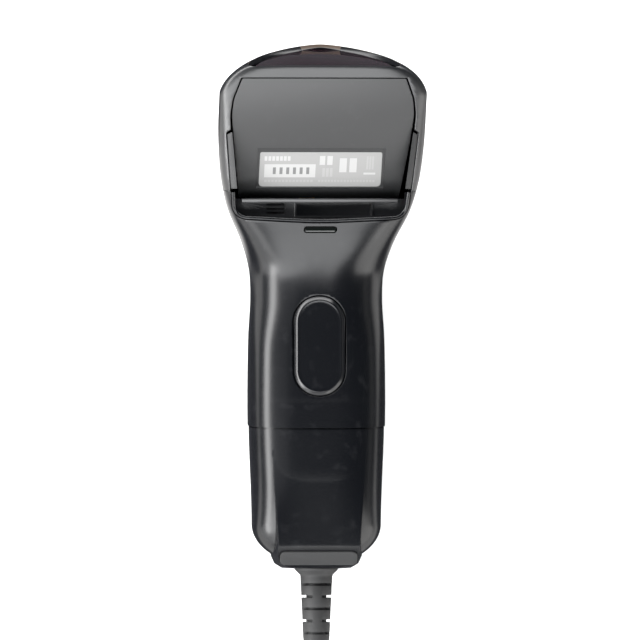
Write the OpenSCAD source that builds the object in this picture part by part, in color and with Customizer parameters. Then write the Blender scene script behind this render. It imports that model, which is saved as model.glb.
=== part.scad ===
// Corded handheld barcode scanner, lying on its back with the trigger side up.
// +Y runs from the cable end to the scan window, +Z is the side that the trigger is on.
// The origin is on the table, under the middle of the scanner without its cord.

/* [Body] */
// Length from the tail to the front edge of the head
body_l = 167; // [160:1:172]
// Widest width of the head
head_w = 66; // [62:0.5:70]
// Width of the grip
grip_w = 43.8; // [41:0.2:46]
// Thickness of the grip
grip_t = 30; // [29:0.5:31]
// How far the head leans towards the trigger side, in degrees
head_lean = 21; // [18:1:23]
// Wall thickness of the mouldings
wall = 2.2; // [1.8:0.1:2.4]
// Gap at a parting line between two mouldings
seam = 0.12; // [0.08:0.02:0.2]

/* [Trigger] */
// Length of the oval trigger cap
trigger_l = 31.8; // [28:0.2:33]
// Width of the oval trigger cap
trigger_w = 16.4; // [14:0.2:17]
// Distance that the trigger travels when it is pressed
trigger_travel = 1; // [0.6:0.1:1]
// Gap round the cap in its opening
trigger_gap = 0.25; // [0.2:0.05:0.4]

/* [Cable] */
// Diameter of the cable
cord_d = 5.2; // [4.8:0.2:5.4]
// Mean radius of the stored coil
coil_r = 31; // [29:0.5:32]
// Length of the strain relief outside the tail
relief_l = 38; // [32:1:40]

/* [Hidden] */

// ---- places along the body
tail_y = -body_l / 2;           // the very end of the tail
nose_y = body_l / 2;            // the front edge of the head, at the back
nose_run = 8;                   // how much further the back of the nose reaches than the front
rim_y = nose_y - nose_run;      // front end of the rim
cap_y = tail_y + 45.2;          // parting line of the tail cap
throat_y = 24;                  // where the throat has reached the lean of the head
grip_end_y = 36.1;              // where the grip cover ends beside the recess
arm_y = 55.3;                   // where the bezel's arms narrow
band_y = 72.2;                  // lower edge of the bezel's top band
lip_y = 27.7;                   // inner edge of the lip
trigger_y = -12.8;              // middle of the trigger
mid_z = grip_t / 2;             // height of the grip's widest line, and of the cable
tail_round_y = tail_y + 13.5;   // where the tail starts to round off, seen from above
tail_front_y = tail_y + 31.5;   // and on the trigger side
tail_back_y = tail_y + 17.5;    // and on the back
tail_stop_y = tail_y + 0.3;     // the last section, just before the tail's point
sink = 0.35;                    // how much of the back's curve is flattened to lie on

// ---- small helpers
function ramp(u) = let(v = max(0, min(1, u))) v * v * (3 - 2 * v);
function blend(a, b, u) = a + (b - a) * u;
function quarter(u) = sqrt(max(0, 1 - u * u));
function steps(a, b, n) = [for (i = [0:n]) a + (b - a) * i / n];
function flat(lists) = [for (l = lists, p = l) p];

// Smooth curve through points [y, value], with level ends
function slope(p, i) = i == 0 || i == len(p) - 1 ? 0 : (p[i + 1][1] - p[i - 1][1]) / (p[i + 1][0] - p[i - 1][0]);
function curve(p, y, i = 0) =
    y <= p[0][0] ? p[0][1] :
    i >= len(p) - 1 ? p[len(p) - 1][1] :
    y > p[i + 1][0] ? curve(p, y, i + 1) :
    let(h = p[i + 1][0] - p[i][0], t = (y - p[i][0]) / h)
    (2 * t * t * t - 3 * t * t + 1) * p[i][1] + (t * t * t - 2 * t * t + t) * h * slope(p, i)
    + (3 * t * t - 2 * t * t * t) * p[i + 1][1] + (t * t * t - t * t) * h * slope(p, i + 1);

// ---- outline seen from above: half width at y
grip_hw = grip_w / 2;
head_hw = head_w / 2;
corner_r = 16;                  // width that the head's front corners round off
corner_l = 13.2;                // and length
corner_x = head_hw - corner_r + 0.55;
corner_y = nose_y - 19;
side = [[tail_round_y, grip_hw - 0.9], [-37, grip_hw + 0.1], [-11, grip_hw - 0.1], [3, grip_hw - 0.8],
    [12, grip_hw - 0.2], [21, grip_hw + 2.6], [30.7, head_hw - 4], [40.3, head_hw - 1.5],
    [50, head_hw - 0.4], [61, head_hw]];
function half_w(y) =
    y < tail_round_y ? (grip_hw - 0.9) * quarter((tail_round_y - y) / 13.5) :
    y > corner_y ? min(curve(side, y), corner_x + corner_r * quarter((y - corner_y) / corner_l)) :
    curve(side, y);

// ---- side view: trigger side and back
lean = tan(head_lean);
function front_z(y) =
    y < tail_front_y ? mid_z + mid_z * quarter((tail_front_y - y) / 31.5) :
    y < 0 ? grip_t :
    y < throat_y ? grip_t + lean / (2 * throat_y) * y * y :
    grip_t + lean * throat_y / 2 + lean * (y - throat_y);
back_bend_y = 8;                // where the back leaves the table
back_lean = 32;                 // and the slope it reaches
back_straight_y = 50;
back_r = (back_straight_y - back_bend_y) / sin(back_lean);
function back_z(y) =
    y < tail_back_y ? mid_z - (mid_z + sink) * quarter((tail_back_y - y) / 17.5) :
    y < back_bend_y ? -sink :
    y < back_straight_y ? back_r - sqrt(back_r * back_r - pow(y - back_bend_y, 2)) - sink :
    back_r * (1 - cos(back_lean)) + (y - back_straight_y) * tan(back_lean) - sink;
function run(y) = nose_run * ramp(y / rim_y);
function front_h(y) =
    y < 0 ? front_z(y) - mid_z : mid_z - 6.7 * ramp((y - 5) / 45) - 5.3 * ramp((y - 52) / 23.5);
function front_n(y) = blend(2.7, 4.5, ramp((y - 10) / 25));
function back_n(y) = blend(3.2, 1.5, ramp((y - 20) / 55));

// One cross-section of the body, leaning more and more towards the nose.
// Angles from 0 to 180 are the trigger side, from 180 to 360 the back.
function section(y, inset, angles, lift = 0) =
    let(f = [y, front_z(y)], b = [y + run(y), back_z(y + run(y))],
        along = (b - f) / norm(b - f), hf = front_h(y), mid = f + along * hf,
        hb = norm(b - f) - hf, wx = half_w(mid[0]) - inset)
    [for (a = angles)
        let(up = sin(a) >= 0, e = up ? front_n(y) : back_n(y), h = (up ? hf : hb) - inset,
            r = pow(pow(abs(cos(a)) / wx, e) + pow(abs(sin(a)) / h, e), -1 / e),
            p = mid - along * (r * sin(a) + lift))
        [r * cos(a), p[0], max(inset > 1 ? -9 : 0, p[1])]];

// Closed solid through sections that have the same number of points
module loft(sections) {
    n = len(sections[0]);
    m = len(sections);
    sides = [for (i = [0:m - 2], j = [0:n - 1])
        [i * n + j, i * n + (j + 1) % n, (i + 1) * n + (j + 1) % n, (i + 1) * n + j]];
    polyhedron(flat(sections), concat([[for (j = [n - 1:-1:0]) j]], sides,
        [[for (j = [0:n - 1]) (m - 1) * n + j]]), convexity = 8);
}
whole = steps(7.5, 360, 47);
front_half = steps(0, 180, 24);
back_half = steps(180, 360, 24);
module body(ys, inset) loft([for (y = ys) section(y, inset, whole)]);
module front_body(ys, inset) loft([for (y = ys) section(y, inset, front_half, seam / 2)]);
module back_body(ys, inset) loft([for (y = ys) section(y, inset, back_half, -seam / 2)]);

// Keeps a moulding's many cuts as one clean mesh
module moulding() resize([0, 0, 0]) children();

// Oval plate with straight sides along Y
module oval(l, w, h) linear_extrude(h) {
    square([w, l - w], center = true);
    for (s = [-1, 1]) translate([0, s * (l - w) / 2]) circle(d = w, $fn = 48);
}
// Plate with rounded corners
module plate(x, y, h, r) linear_extrude(h) {
    square([x - 2 * r, y], center = true);
    square([x, y - 2 * r], center = true);
    for (i = [-1, 1], j = [-1, 1]) translate([i * (x / 2 - r), j * (y / 2 - r)]) circle(r, $fn = 32);
}
module block(x, y, z) translate([x[0], y[0], z[0]]) cube([x[1] - x[0], y[1] - y[0], z[1] - z[0]]);
// Cylinder along Y from y0 to y1, at the height of the cable
module along_y(r, y0, y1, fn = 48) translate([0, y0, mid_z]) rotate([-90, 0, 0]) cylinder(r = r, h = y1 - y0, $fn = fn);
// Polygon mirrored about the Y axis, from the points of its right half
module both_sides(p) polygon(concat(p, [for (i = [len(p) - 1:-1:0]) [-p[i][0], p[i][1]]]));

// ---- tail end
gland_r = 5;                    // neck of the strain relief in the cap
wall_end_y = tail_y + 6.2;      // inner face of the cap's end wall
foot_slope = 40;                // slope of the face that carries the foot
foot_w = 24.8;
foot_l = 5.6;
foot_t = 1;
heel_y = tail_y + 6.3;          // where the heel's top ends
heel_z = 28.9;
module at_foot() translate([0, heel_y - 3, heel_z - 3]) rotate([foot_slope, 0, 0]) children();
module heel_plan() both_sides([[15, cap_y - 8], [12.9, heel_y + 2], [12.9, heel_y - 2.2],
    [11.9, heel_y - 4.4], [9.6, heel_y - 5.6], [6, heel_y - 6.1]]);
module heel() intersection() {
    hull() {
        translate([0, 0, heel_z + 0.6]) linear_extrude(0.1) heel_plan();
        translate([0, 0, mid_z]) linear_extrude(0.1) offset(delta = 1.9) heel_plan();
    }
    rotate([90, 0, 90]) translate([0, 0, -20]) linear_extrude(40) polygon([
        [cap_y - 6, mid_z], [cap_y - 6, grip_t - 1.6], [heel_y + 20, grip_t - 0.8], [heel_y, heel_z],
        [heel_y - 6.4, heel_z - 6.4 * tan(foot_slope)], [heel_y - 6.4, mid_z]]);
}
tail_ys = [for (i = [0:16]) cap_y - 0.3 + (tail_stop_y - cap_y + 0.3) * sin(90 * i / 16)];
module tail_cap() color("#17191b") moulding() difference() {
    union() {
        body([for (i = [16:-1:0]) tail_ys[i]], 0.3);
        heel();
    }
    difference() {
        body(steps(wall_end_y - 1, cap_y + 1, 12), wall + 0.3);
        block([-30, 30], [wall_end_y - 9, wall_end_y], [0, 40]);
    }
    along_y(gland_r + 0.1, tail_y - 1, wall_end_y + 1);
    at_foot() plate(foot_w + 0.3, foot_l + 0.3, 9, 2.4);
}
module tail_foot() color("#4c4e50") at_foot() translate([0, 0, 0.02]) plate(foot_w, foot_l, foot_t, 2.25);

// ---- grip and head mouldings
body_ys = steps(cap_y + 0.1, rim_y, 30);
// Collar inside the parting line that the tail cap slides over, with its root in the wall
collar = [[cap_y - 7, wall + 0.45], [cap_y, wall + 0.45], [cap_y + 0.2, 0.6], [cap_y + 2.5, 0.6]];
module collar_bore() body([cap_y - 8, cap_y + 3.5], wall + 1.7);
board_posts = [for (x = [-12.5, 12.5], y = [-33, 18]) [x, y]];
board_z = 18;
board_t = 1.6;
engine_at = [0, 62.5, 34];
engine_lean = 20.5;
module at_engine() translate(engine_at) rotate([engine_lean, 0, 0]) children();
engine_ears = [-16.3, 16.3];
ear_y = -7;
module case_posts() {
    for (p = board_posts) translate([p[0], p[1], 1]) cylinder(r = 2.6, h = board_z - 1.03, $fn = 24);
    at_engine() for (x = engine_ears) translate([x, ear_y, -18]) cylinder(r = 2.3, h = 11.97, $fn = 24);
}
module case_post_holes() {
    for (p = board_posts) translate([p[0], p[1], 8]) cylinder(r = 0.95, h = 20, $fn = 24);
    at_engine() for (x = engine_ears) translate([x, ear_y, -11]) cylinder(r = 0.95, h = 10, $fn = 24);
}
module back_case() color("#16181a") moulding() difference() {
    union() {
        difference() {
            back_body(body_ys, 0);
            body(steps(cap_y - 1, rim_y + 0.5, 30), wall);
        }
        intersection() {
            back_body(body_ys, 1);
            case_posts();
        }
        difference() {
            loft([for (c = collar) section(c[0], c[1], back_half, -seam / 2)]);
            collar_bore();
        }
    }
    case_post_holes();
}
// Opening over the recess, in the grip cover
module recess_plan() both_sides([[0, lip_y], [8, lip_y + 0.1], [15, lip_y + 0.45], [21.5, lip_y + 1],
    [24.2, lip_y + 1.9], [25.9, lip_y + 3.6], [26.8, lip_y + 6], [27.3, grip_end_y], [27.5, grip_end_y + 6],
    [0, grip_end_y + 6]]);
module grip_opening() translate([0, 0, mid_z]) linear_extrude(60) recess_plan();
// Opening in the bezel, with the notches that the side trims fill
trim_low = 28.8;
trim_high = 30.6;
module bezel_opening() translate([0, 0, 5]) linear_extrude(60) both_sides([[0, grip_end_y - 4],
    [trim_low - 0.4, grip_end_y - 4], [trim_high, arm_y - 0.6], [trim_high - 0.5, arm_y], [29.2, arm_y + 0.5],
    [29.45, 60], [29.1, 64.4], [26.3, band_y], [0, band_y]]);
slot_y = 24.3;                  // the indicator slot under the lip
slot_l = 10.6;
slot_w = 2;
module grip_cover() color("#17191b") moulding() difference() {
    union() {
        difference() {
            front_body(steps(cap_y + 0.1, grip_end_y, 22), 0);
            body(steps(cap_y - 1, grip_end_y + 1, 24), wall);
        }
        difference() {
            loft([for (c = collar) section(c[0], c[1], front_half, seam / 2)]);
            collar_bore();
        }
    }
    grip_opening();
    translate([0, trigger_y, mid_z]) oval(trigger_l + 2 * trigger_gap, trigger_w + 2 * trigger_gap, 30);
    translate([0, slot_y, mid_z]) rotate([0, 0, 90]) oval(slot_l, slot_w, 40);
}
module front_bezel() color("#1b1d1f") moulding() difference() {
    front_body(steps(grip_end_y + 0.15, rim_y, 14), 0);
    body(steps(grip_end_y - 1, rim_y + 0.5, 16), wall - 0.2);
    bezel_opening();
}
// The window lies in the plane of the rim, square to the light that leaves it
nose = [rim_y, front_z(rim_y)];
window_across = [rim_y + run(rim_y), back_z(rim_y + run(rim_y))] - nose;
window_lean = atan2(window_across[1], window_across[0]);
module at_window() translate([0, nose[0], nose[1]]) rotate([window_lean, 0, 0]) children();
module window_plan(shrink) offset(delta = -shrink)
    polygon([for (p = section(rim_y, wall + 0.1, whole)) [p[0], norm([p[1], p[2]] - nose)]]);
module scan_window() color("#2a1014") at_window() translate([0, 0, -2.4]) linear_extrude(1.6) window_plan(0);
module window_gasket() color("#2b2b2b") at_window() translate([0, 0, -3.22]) linear_extrude(0.8) difference() {
    window_plan(0);
    window_plan(1.6);
}

// ---- optics cover: the bulging panel behind the head's opening
cover_bulge = 0.00815;
cover_t = 1.6;
function cover_z(x, y) = front_z(band_y) - lean * (band_y - y) - cover_bulge * pow(band_y - y, 2) - 0.0016 * x * x;
module cover_slab(x1, y0, y1, top, bottom, nx, ny) loft([for (y = steps(y0, y1, ny))
    concat([for (x = steps(-x1, x1, nx)) [x, y, cover_z(x, y) + bottom]],
        [for (x = steps(x1, -x1, nx)) [x, y, cover_z(x, y) + top]])]);
cover_plan = [[0, 34.6], [25.6, 34.6], [28.2, 53], [28.85, 58], [28.9, 61], [28.5, 65], [25.9, 71.9], [0, 71.9]];
label_x = 19.5;
label_y = [38.1, 48.9];
module optics_cover() color("#3a3c3e") moulding() difference() {
    intersection() {
        cover_slab(31, 33, 73, -0.1, -cover_t - 0.1, 12, 20);
        linear_extrude(70) both_sides(cover_plan);
    }
    cover_slab(label_x + 0.8, label_y[0] - 0.8, label_y[1] + 0.8, 5, -0.5, 8, 6);
}
module rating_label() color("#c9c9c6") cover_slab(label_x, label_y[0], label_y[1], -0.3, -0.48, 8, 6);

// ---- recess at the foot of the head
tray_z = 28.7;
ridge_z = 31.2;
module side_trims() color("#3c3e40") moulding() intersection() {
    for (s = [-1, 1]) linear_extrude(60) polygon([[s * (trim_low - 0.05), grip_end_y + 1.2],
        [s * (trim_high - 0.25), arm_y - 0.7], [s * (trim_high - 1.7), arm_y - 0.2],
        [s * (trim_low - 2), grip_end_y + 1.2]]);
    rotate([90, 0, 90]) translate([0, 0, -40]) linear_extrude(80) polygon([
        [grip_end_y, front_z(grip_end_y)], [grip_end_y, 30.6], [arm_y, 39], [arm_y, front_z(arm_y)]]);
    loft([for (y = [30, 37, 46, 60]) section(y, 0.35, whole)]);
}
vents = [for (i = [0:2]) lip_y + 2 + 1.35 * i];
socket_x = [-7.4, 16.6];
socket_y = [28.8, 32.6];
// Space under the grip cover beside the recess, as one straight bar with the lean of the head
under_cover_y = 29;
module under_cover() translate([0, under_cover_y, front_z(under_cover_y)]) rotate([90 + head_lean, 0, 0])
    linear_extrude(60, center = true) polygon([for (p = section(under_cover_y, wall + 0.3, front_half))
        [p[0], (p[2] - front_z(under_cover_y)) * cos(head_lean) - (p[1] - under_cover_y) * sin(head_lean)]]);
module recess_tray() color("#202224") difference() {
    union() {
        // Floor, ridge and socket box
        translate([0, 0, tray_z - 1.6]) linear_extrude(1.6) intersection() {
            offset(delta = 0.6) recess_plan();
            translate([-40, 0]) square([80, 34.2]);
        }
        block([-25, 25], [33.3, 34.2], [tray_z - 1, ridge_z]);
        block([socket_x[0] - 1, socket_x[1] + 1], [socket_y[0] - 0.9, socket_y[1] + 0.8], [tray_z - 5.2, tray_z - 1]);
        // Wall that closes the recess up to the underside of the grip cover
        intersection() {
            translate([0, 0, tray_z - 1.6]) linear_extrude(20) difference() {
                offset(delta = 0.8) recess_plan();
                recess_plan();
                translate([-40, grip_end_y - 1]) square(80);
            }
            under_cover();
        }
    }
    for (y = vents) translate([-14, y, tray_z - 3]) rotate([0, 0, 90]) oval(6, 0.75, 5);
    block(socket_x, socket_y, [tray_z - 4, tray_z + 1]);
}
module light_pipe() color("#3b4a40") translate([0, slot_y, board_z + board_t + 1.5]) rotate([0, 0, 90])
    oval(slot_l - 0.3, slot_w - 0.3, 13.2);
module status_led() color("#dfe8df") for (x = [-3, 3])
    translate([x, slot_y, board_z + board_t]) translate([-1.2, -0.8, 0]) cube([2.4, 1.6, 1.2]);
module buzzer() color("#111213") translate([-14, 30.1, tray_z - 5.92]) difference() {
    cylinder(r = 4.1, h = 4.3, $fn = 48);
    translate([0, 0, 3.3]) cylinder(r = 1, h = 2, $fn = 24);
}

// ---- trigger
cap_top = grip_t + 0.7;
flange_z = 25.9;
post_gap = 22;                  // distance between the two guide posts
guide_z = 21.4;
guide_t = 1.5;
post_r = 1.5;
plunger_top = 23.6;
module trigger_cap() color("#141618") translate([0, trigger_y, 0]) {
    intersection() {
        translate([0, 0, flange_z]) oval(trigger_l, trigger_w, cap_top - flange_z);
        translate([0, 0, cap_top - 50]) rotate([90, 0, 0]) cylinder(r = 50, h = 60, center = true, $fn = 200);
    }
    translate([0, 0, flange_z]) oval(trigger_l + 1.8, trigger_w + 1.6, 1);
    for (s = [-1, 1]) translate([0, s * post_gap / 2, 20.9]) cylinder(r = post_r, h = flange_z - 20.8, $fn = 32);
    translate([0, 0, plunger_top + 0.03]) cylinder(r = 1.8, h = flange_z - plunger_top, $fn = 32);
}
module trigger_guide() color("#5d6063") translate([0, trigger_y, 0]) difference() {
    union() {
        translate([0, 0, guide_z]) plate(12, 30, guide_t, 2);
        for (i = [-1, 1], j = [-1, 1]) translate([i * 4.4, j * 13.3, board_z + board_t])
            cylinder(r = 1.2, h = guide_z - board_z - board_t + 0.5, $fn = 24);
    }
    translate([-4.2, -4.2, guide_z - 1]) cube([8.4, 8.4, 4]);
    for (s = [-1, 1]) translate([0, s * post_gap / 2, guide_z - 1]) cylinder(r = post_r + 0.06, h = 4, $fn = 32);
}
// Round wire swept along a path of points, ring by ring
module sweep(path, r, sides) loft([for (i = [0:len(path) - 1])
    let(t = path[min(i + 1, len(path) - 1)] - path[max(i - 1, 0)],
        u = t / norm(t), e = cross(u, [0, 0, 1]), v = e / norm(e), w = cross(u, v))
    [for (k = [0:sides - 1]) path[i] + r * (cos(360 * k / sides) * v - sin(360 * k / sides) * w)]]);
spring_r = 2.3;
spring_wire = 0.28;
spring_h = flange_z - guide_z - guide_t;
module trigger_springs() color("#b9bcc0") for (s = [-1, 1]) translate([0, trigger_y + s * post_gap / 2, guide_z + guide_t])
    sweep([for (i = [0:40]) let(u = i / 40) [spring_r * cos(1080 * u), spring_r * sin(1080 * u),
        blend(spring_wire + 0.04, spring_h - spring_wire - 0.04, u)]], spring_wire, 6);
module tact_switch() color("#26282a") translate([0, trigger_y, board_z + board_t]) difference() {
    translate([-3.1, -3.1, 0]) cube([6.2, 6.2, 2.6]);
    translate([0, 0, 0.5]) cylinder(r = 1.76, h = 4, $fn = 32);
}
module switch_plunger() color("#b8442f") translate([0, trigger_y, 21.2]) cylinder(r = 1.7, h = plunger_top - 21.2, $fn = 32);

// ---- electronics in the grip
board_y = [-58, 25.8];
module main_board() color("#1e5a3a") difference() {
    block([-15.5, 15.5], board_y, [board_z, board_z + board_t]);
    for (p = board_posts) translate([p[0], p[1], board_z - 1]) cylinder(r = 1.15, h = 4, $fn = 24);
}
module board_chips() color("#151515") {
    top = board_z + board_t;
    block([-5, 5], [-41, -31], [top, top + 1.2]);
    block([6.5, 12.5], [-42, -36], [top, top + 1]);
    block([-12.5, -7.5], [-43, -37.5], [top, top + 1.6]);
    for (i = [0:5]) block([8.5, 10], [-32 + 3 * i, -31 + 3 * i], [top, top + 0.7]);
    for (i = [0:4]) block([-11.5, -9.9], [3 + 2.6 * i, 4 + 2.6 * i], [top, top + 0.7]);
    translate([9.5, 10, top]) cylinder(r = 2.6, h = 4.4, $fn = 32);
}
module small_screw(head_r, r, l) {
    difference() {
        cylinder(r = head_r, h = 1.3, $fn = 32);
        for (a = [0, 90]) rotate(a) translate([-head_r * 0.6, -0.2, 0.6]) cube([head_r * 1.2, 0.4, 1]);
    }
    translate([0, 0, -l]) cylinder(r = r, h = l + 0.1, $fn = 24);
}
module board_screws() color("#c3c5c8") for (p = board_posts)
    translate([p[0], p[1], board_z + board_t + 0.02]) small_screw(1.9, 0.9, 8);
module cable_header() color("#e3e0d4") difference() {
    block([-5, 5], [-55, -50], [board_z + board_t, board_z + board_t + 4.2]);
    block([-4.2, 4.2], [-55.5, -51.2], [board_z + board_t + 0.8, board_z + board_t + 3.4]);
}
module cable_connector() color("#d8d4c4") block([-4.05, 4.05], [-58.6, -51.4], [board_z + board_t + 0.9, board_z + board_t + 3.3]);
module signal_wires() color("#b03a34") for (i = [-1.5:1:1.5]) {
    a = [i * 0.9, -69.8, mid_z];
    b = [i * 1.8, -58.65, board_z + board_t + 2.1];
    sweep([a, blend(a, b, 0.5) + [0, 0, 0.3], b], 0.4, 8);
}

// ---- scan engine in the head
base_z = -6;
pin_at = [4, -3];
mirror_turn = 45;
module at_pin() at_engine() translate([pin_at[0], pin_at[1], 0]) rotate([0, 0, mirror_turn]) children();
module engine_chassis() color("#8b8f93") at_engine() difference() {
    union() {
        block([-14, 14], [-12, 5], [base_z, base_z + 1.6]);
        block([-14, 14], [-12, -10.7], [base_z, 5.5]);
        block([-14, -12.7], [-12, 5], [base_z, 5.5]);
        block([-18.8, 18.8], [ear_y - 2.6, ear_y + 2.6], [base_z, base_z + 1.6]);
        block([-12.8, -7], [-6.6, 0.6], [base_z + 1.5, -3.3]);
        translate([pin_at[0], pin_at[1], 0]) rotate(mirror_turn) block([-1.6, 1.6], [-7.1, -5.1], [base_z + 1.5, -2.2]);
    }
    for (x = engine_ears) translate([x, ear_y, base_z - 1]) cylinder(r = 1.15, h = 4, $fn = 24);
    translate([pin_at[0], pin_at[1], base_z - 1]) cylinder(r = 0.58, h = 4, $fn = 24);
}
module engine_screws() color("#c3c5c8") at_engine() for (x = engine_ears)
    translate([x, ear_y, base_z + 1.62]) small_screw(1.9, 0.9, 6);
module laser_module() color("#b08d4a") at_engine() translate([-12.6, pin_at[1], -0.4]) rotate([0, 90, 0]) difference() {
    cylinder(r = 2.9, h = 8, $fn = 48);
    translate([0, 0, 6.4]) cylinder(r = 1.8, h = 3, $fn = 32);
}
module laser_lens() color("#cfe3ee") at_engine() translate([-6.1, pin_at[1], -0.4]) rotate([0, 90, 0])
    cylinder(r = 1.78, h = 0.8, $fn = 32);
module mirror_pin() color("#d0d3d6") at_engine() translate([pin_at[0], pin_at[1], base_z])
    cylinder(r = 0.56, h = 11.4, $fn = 24);
module mirror_holder() color("#2c2e30") at_pin() difference() {
    union() {
        translate([0, 0, base_z + 2]) cylinder(r = 1.5, h = 9, $fn = 32);
        block([-3.6, 3.6], [0.8, 2], [base_z + 2.4, base_z + 10.6]);
        block([-1, 1], [-2.6, -0.8], [base_z + 4.5, base_z + 8.5]);
    }
    translate([0, 0, base_z - 1]) cylinder(r = 0.62, h = 14, $fn = 24);
}
module scan_mirror() color("#dfe6ea") at_pin() block([-4.4, 4.4], [2.02, 2.8], [base_z + 2.2, base_z + 10.8]);
module mirror_magnet() color("#9a9da0") at_pin() block([-1.4, 1.4], [-4, -2.62], [base_z + 4.7, base_z + 8.3]);
module drive_coil() color("#b5652c") at_pin() translate([0, -7.2, base_z + 6.5]) rotate([-90, 0, 0]) difference() {
    cylinder(r = 2.7, h = 2.2, $fn = 48);
    translate([0, 0, -1]) cylinder(r = 1, h = 5, $fn = 32);
}
module photodiode_board() color("#1e5a3a") at_engine() block([11.6, 12.6], [-10, 4], [base_z + 1.62, 5]);
module photodiode() color("#22262e") at_engine() block([10.2, 11.58], [-1, 3.4], [-2.4, 2]);
module engine_flex() color("#b8862f") {
    a = [-6, board_y[1] + 0.3, board_z + 1];
    b = [-6, 52.7, 25.2];
    t = [0, 0, 0.3];
    w = [5, 0, 0];
    loft([for (p = [a, b]) [p, p + w, p + w + t, p + t]]);
}

// ---- cable and its strain relief
relief_y = tail_y - 0.25;
relief_end_y = relief_y - relief_l;
slit_pitch = 3.9;
slit_w = 1;
slits = 8;
relief_r0 = 5.1;
relief_r1 = 3.4;
module strain_relief() color("#3f4143") translate([0, relief_y, mid_z]) rotate([90, 0, 0]) difference() {
    union() {
        difference() {
            rotate_extrude($fn = 64) polygon([[0, -8.6], [5.9, -8.6], [5.9, -6.6], [gland_r, -6.6], [gland_r, 0],
                [7, 0], [7, 0.7], [relief_r0 + 0.1, 2.5], [relief_r0, 3], [relief_r1 + 0.2, relief_l - 0.5],
                [relief_r1, relief_l], [0, relief_l]]);
            for (i = [0:slits - 1]) translate([0, 0, 5 + slit_pitch * i]) for (s = [-1, 1])
                rotate([0, 0, i % 2 == 0 ? 0 : 90]) translate([-9, s > 0 ? 1.5 : -10.5, 0]) cube([18, 9, slit_w]);
        }
        translate([0, 0, 4]) cylinder(r = 3.25, h = relief_l - 4.5, $fn = 48);
    }
    translate([0, 0, -10]) cylinder(d = cord_d + 0.02, h = relief_l + 20, $fn = 48);
}
module cable_inner() color("#1a1b1c") along_y(cord_d / 2, relief_end_y, -70);
module cable_clamp() color("#a9acaf") difference() {
    along_y(5, -74.9, -71.9);
    along_y(cord_d / 2 + 0.02, -76, -71);
}
lift = 0.6;                     // thickness of the tie under the coil
coil_at = [-12, -186];
bundle = 3 * cord_d;
plug_z = lift + bundle + 4.2;
lead_route = [[0, relief_end_y, 15], [0, -130, 14.2], [1, -138, 11.6], [3, -145, 8.4], [6, -151.5, 5.4],
    [9.6, -156.6, 3.7], [13.6, -160.6, 3.2]];
module cord_tube() color("#1a1b1c") {
    sweep(flat([for (i = [0:len(lead_route) - 2]) [for (k = [0:3]) blend(lead_route[i], lead_route[i + 1], k / 4)]]),
        cord_d / 2, 8);
    sweep([for (i = [0:15]) let(a = 170 - 5 * i, r = coil_r - cord_d * (1 - ramp((i - 3) / 9)))
        [coil_at[0] + r * cos(a), coil_at[1] + r * sin(a), blend(14.2, plug_z, ramp(i / 8))]], cord_d / 2, 8);
}
module cord_coil() color("#1a1b1c") translate([coil_at[0], coil_at[1], lift]) rotate_extrude($fn = 96)
    translate([coil_r, bundle / 2]) {
        square([bundle - 4, bundle], center = true);
        square([bundle, bundle - 4], center = true);
        for (i = [-1, 1], j = [-1, 1]) translate([i, j] * (bundle / 2 - 2)) circle(2, $fn = 24);
    }
module cord_tie() color("#2a2c2e") translate([coil_at[0], coil_at[1] - coil_r - bundle / 2, 0]) difference() {
    translate([-4, -0.8, 0]) cube([8, bundle + 2.4, bundle + 2 * lift]);
    translate([-5, 0, lift]) cube([10, bundle + 0.8, bundle]);
}
plug_x = -14.5;
plug_y = coil_at[1] + coil_r;
module usb_grip() color("#1c1d1f") translate([plug_x, plug_y, plug_z]) {
    rotate([0, 90, 0]) cylinder(r1 = 3.1, r2 = 3.6, h = 8, $fn = 32);
    translate([7.9, -7.9, -4]) cube([21, 15.8, 8]);
}
module usb_shell() color("#c9ccd0") translate([plug_x + 28.9, plug_y, plug_z]) difference() {
    translate([0, -6, -2.25]) cube([18.7, 12, 4.5]);
    translate([0.5, -5.7, -1.95]) cube([19, 11.4, 3.9]);
}
module usb_tongue() color("#e8e8e8") translate([plug_x + 29.42, plug_y, plug_z]) translate([0, -5.6, -1.9]) cube([17.4, 11.2, 1.8]);

back_case();
grip_cover();
front_bezel();
tail_cap();
tail_foot();
scan_window();
window_gasket();
optics_cover();
rating_label();
side_trims();
recess_tray();
light_pipe();
status_led();
buzzer();
trigger_cap();
trigger_guide();
trigger_springs();
tact_switch();
switch_plunger();
main_board();
board_chips();
board_screws();
cable_header();
cable_connector();
signal_wires();
engine_chassis();
engine_screws();
laser_module();
laser_lens();
mirror_pin();
mirror_holder();
scan_mirror();
mirror_magnet();
drive_coil();
photodiode_board();
photodiode();
engine_flex();
strain_relief();
cable_inner();
cable_clamp();
cord_tube();
cord_coil();
cord_tie();
usb_grip();
usb_shell();
usb_tongue();
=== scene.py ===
import bpy
import math
from mathutils import Matrix, Vector
from mathutils.bvhtree import BVHTree


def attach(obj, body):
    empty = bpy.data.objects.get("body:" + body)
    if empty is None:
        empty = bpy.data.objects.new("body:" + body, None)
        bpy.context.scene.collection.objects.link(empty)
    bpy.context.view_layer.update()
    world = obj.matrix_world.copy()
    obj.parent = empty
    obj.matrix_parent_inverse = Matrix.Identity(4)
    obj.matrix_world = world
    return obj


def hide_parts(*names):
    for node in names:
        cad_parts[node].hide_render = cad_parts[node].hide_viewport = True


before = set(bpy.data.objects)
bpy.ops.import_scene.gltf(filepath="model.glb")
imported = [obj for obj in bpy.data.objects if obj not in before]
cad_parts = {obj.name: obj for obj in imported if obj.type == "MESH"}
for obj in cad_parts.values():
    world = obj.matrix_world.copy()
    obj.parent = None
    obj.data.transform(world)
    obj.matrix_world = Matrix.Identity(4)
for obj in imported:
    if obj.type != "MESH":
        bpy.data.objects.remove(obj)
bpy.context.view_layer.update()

mm = 0.001
scene = bpy.context.scene
scene.view_settings.view_transform = "Standard"


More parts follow.
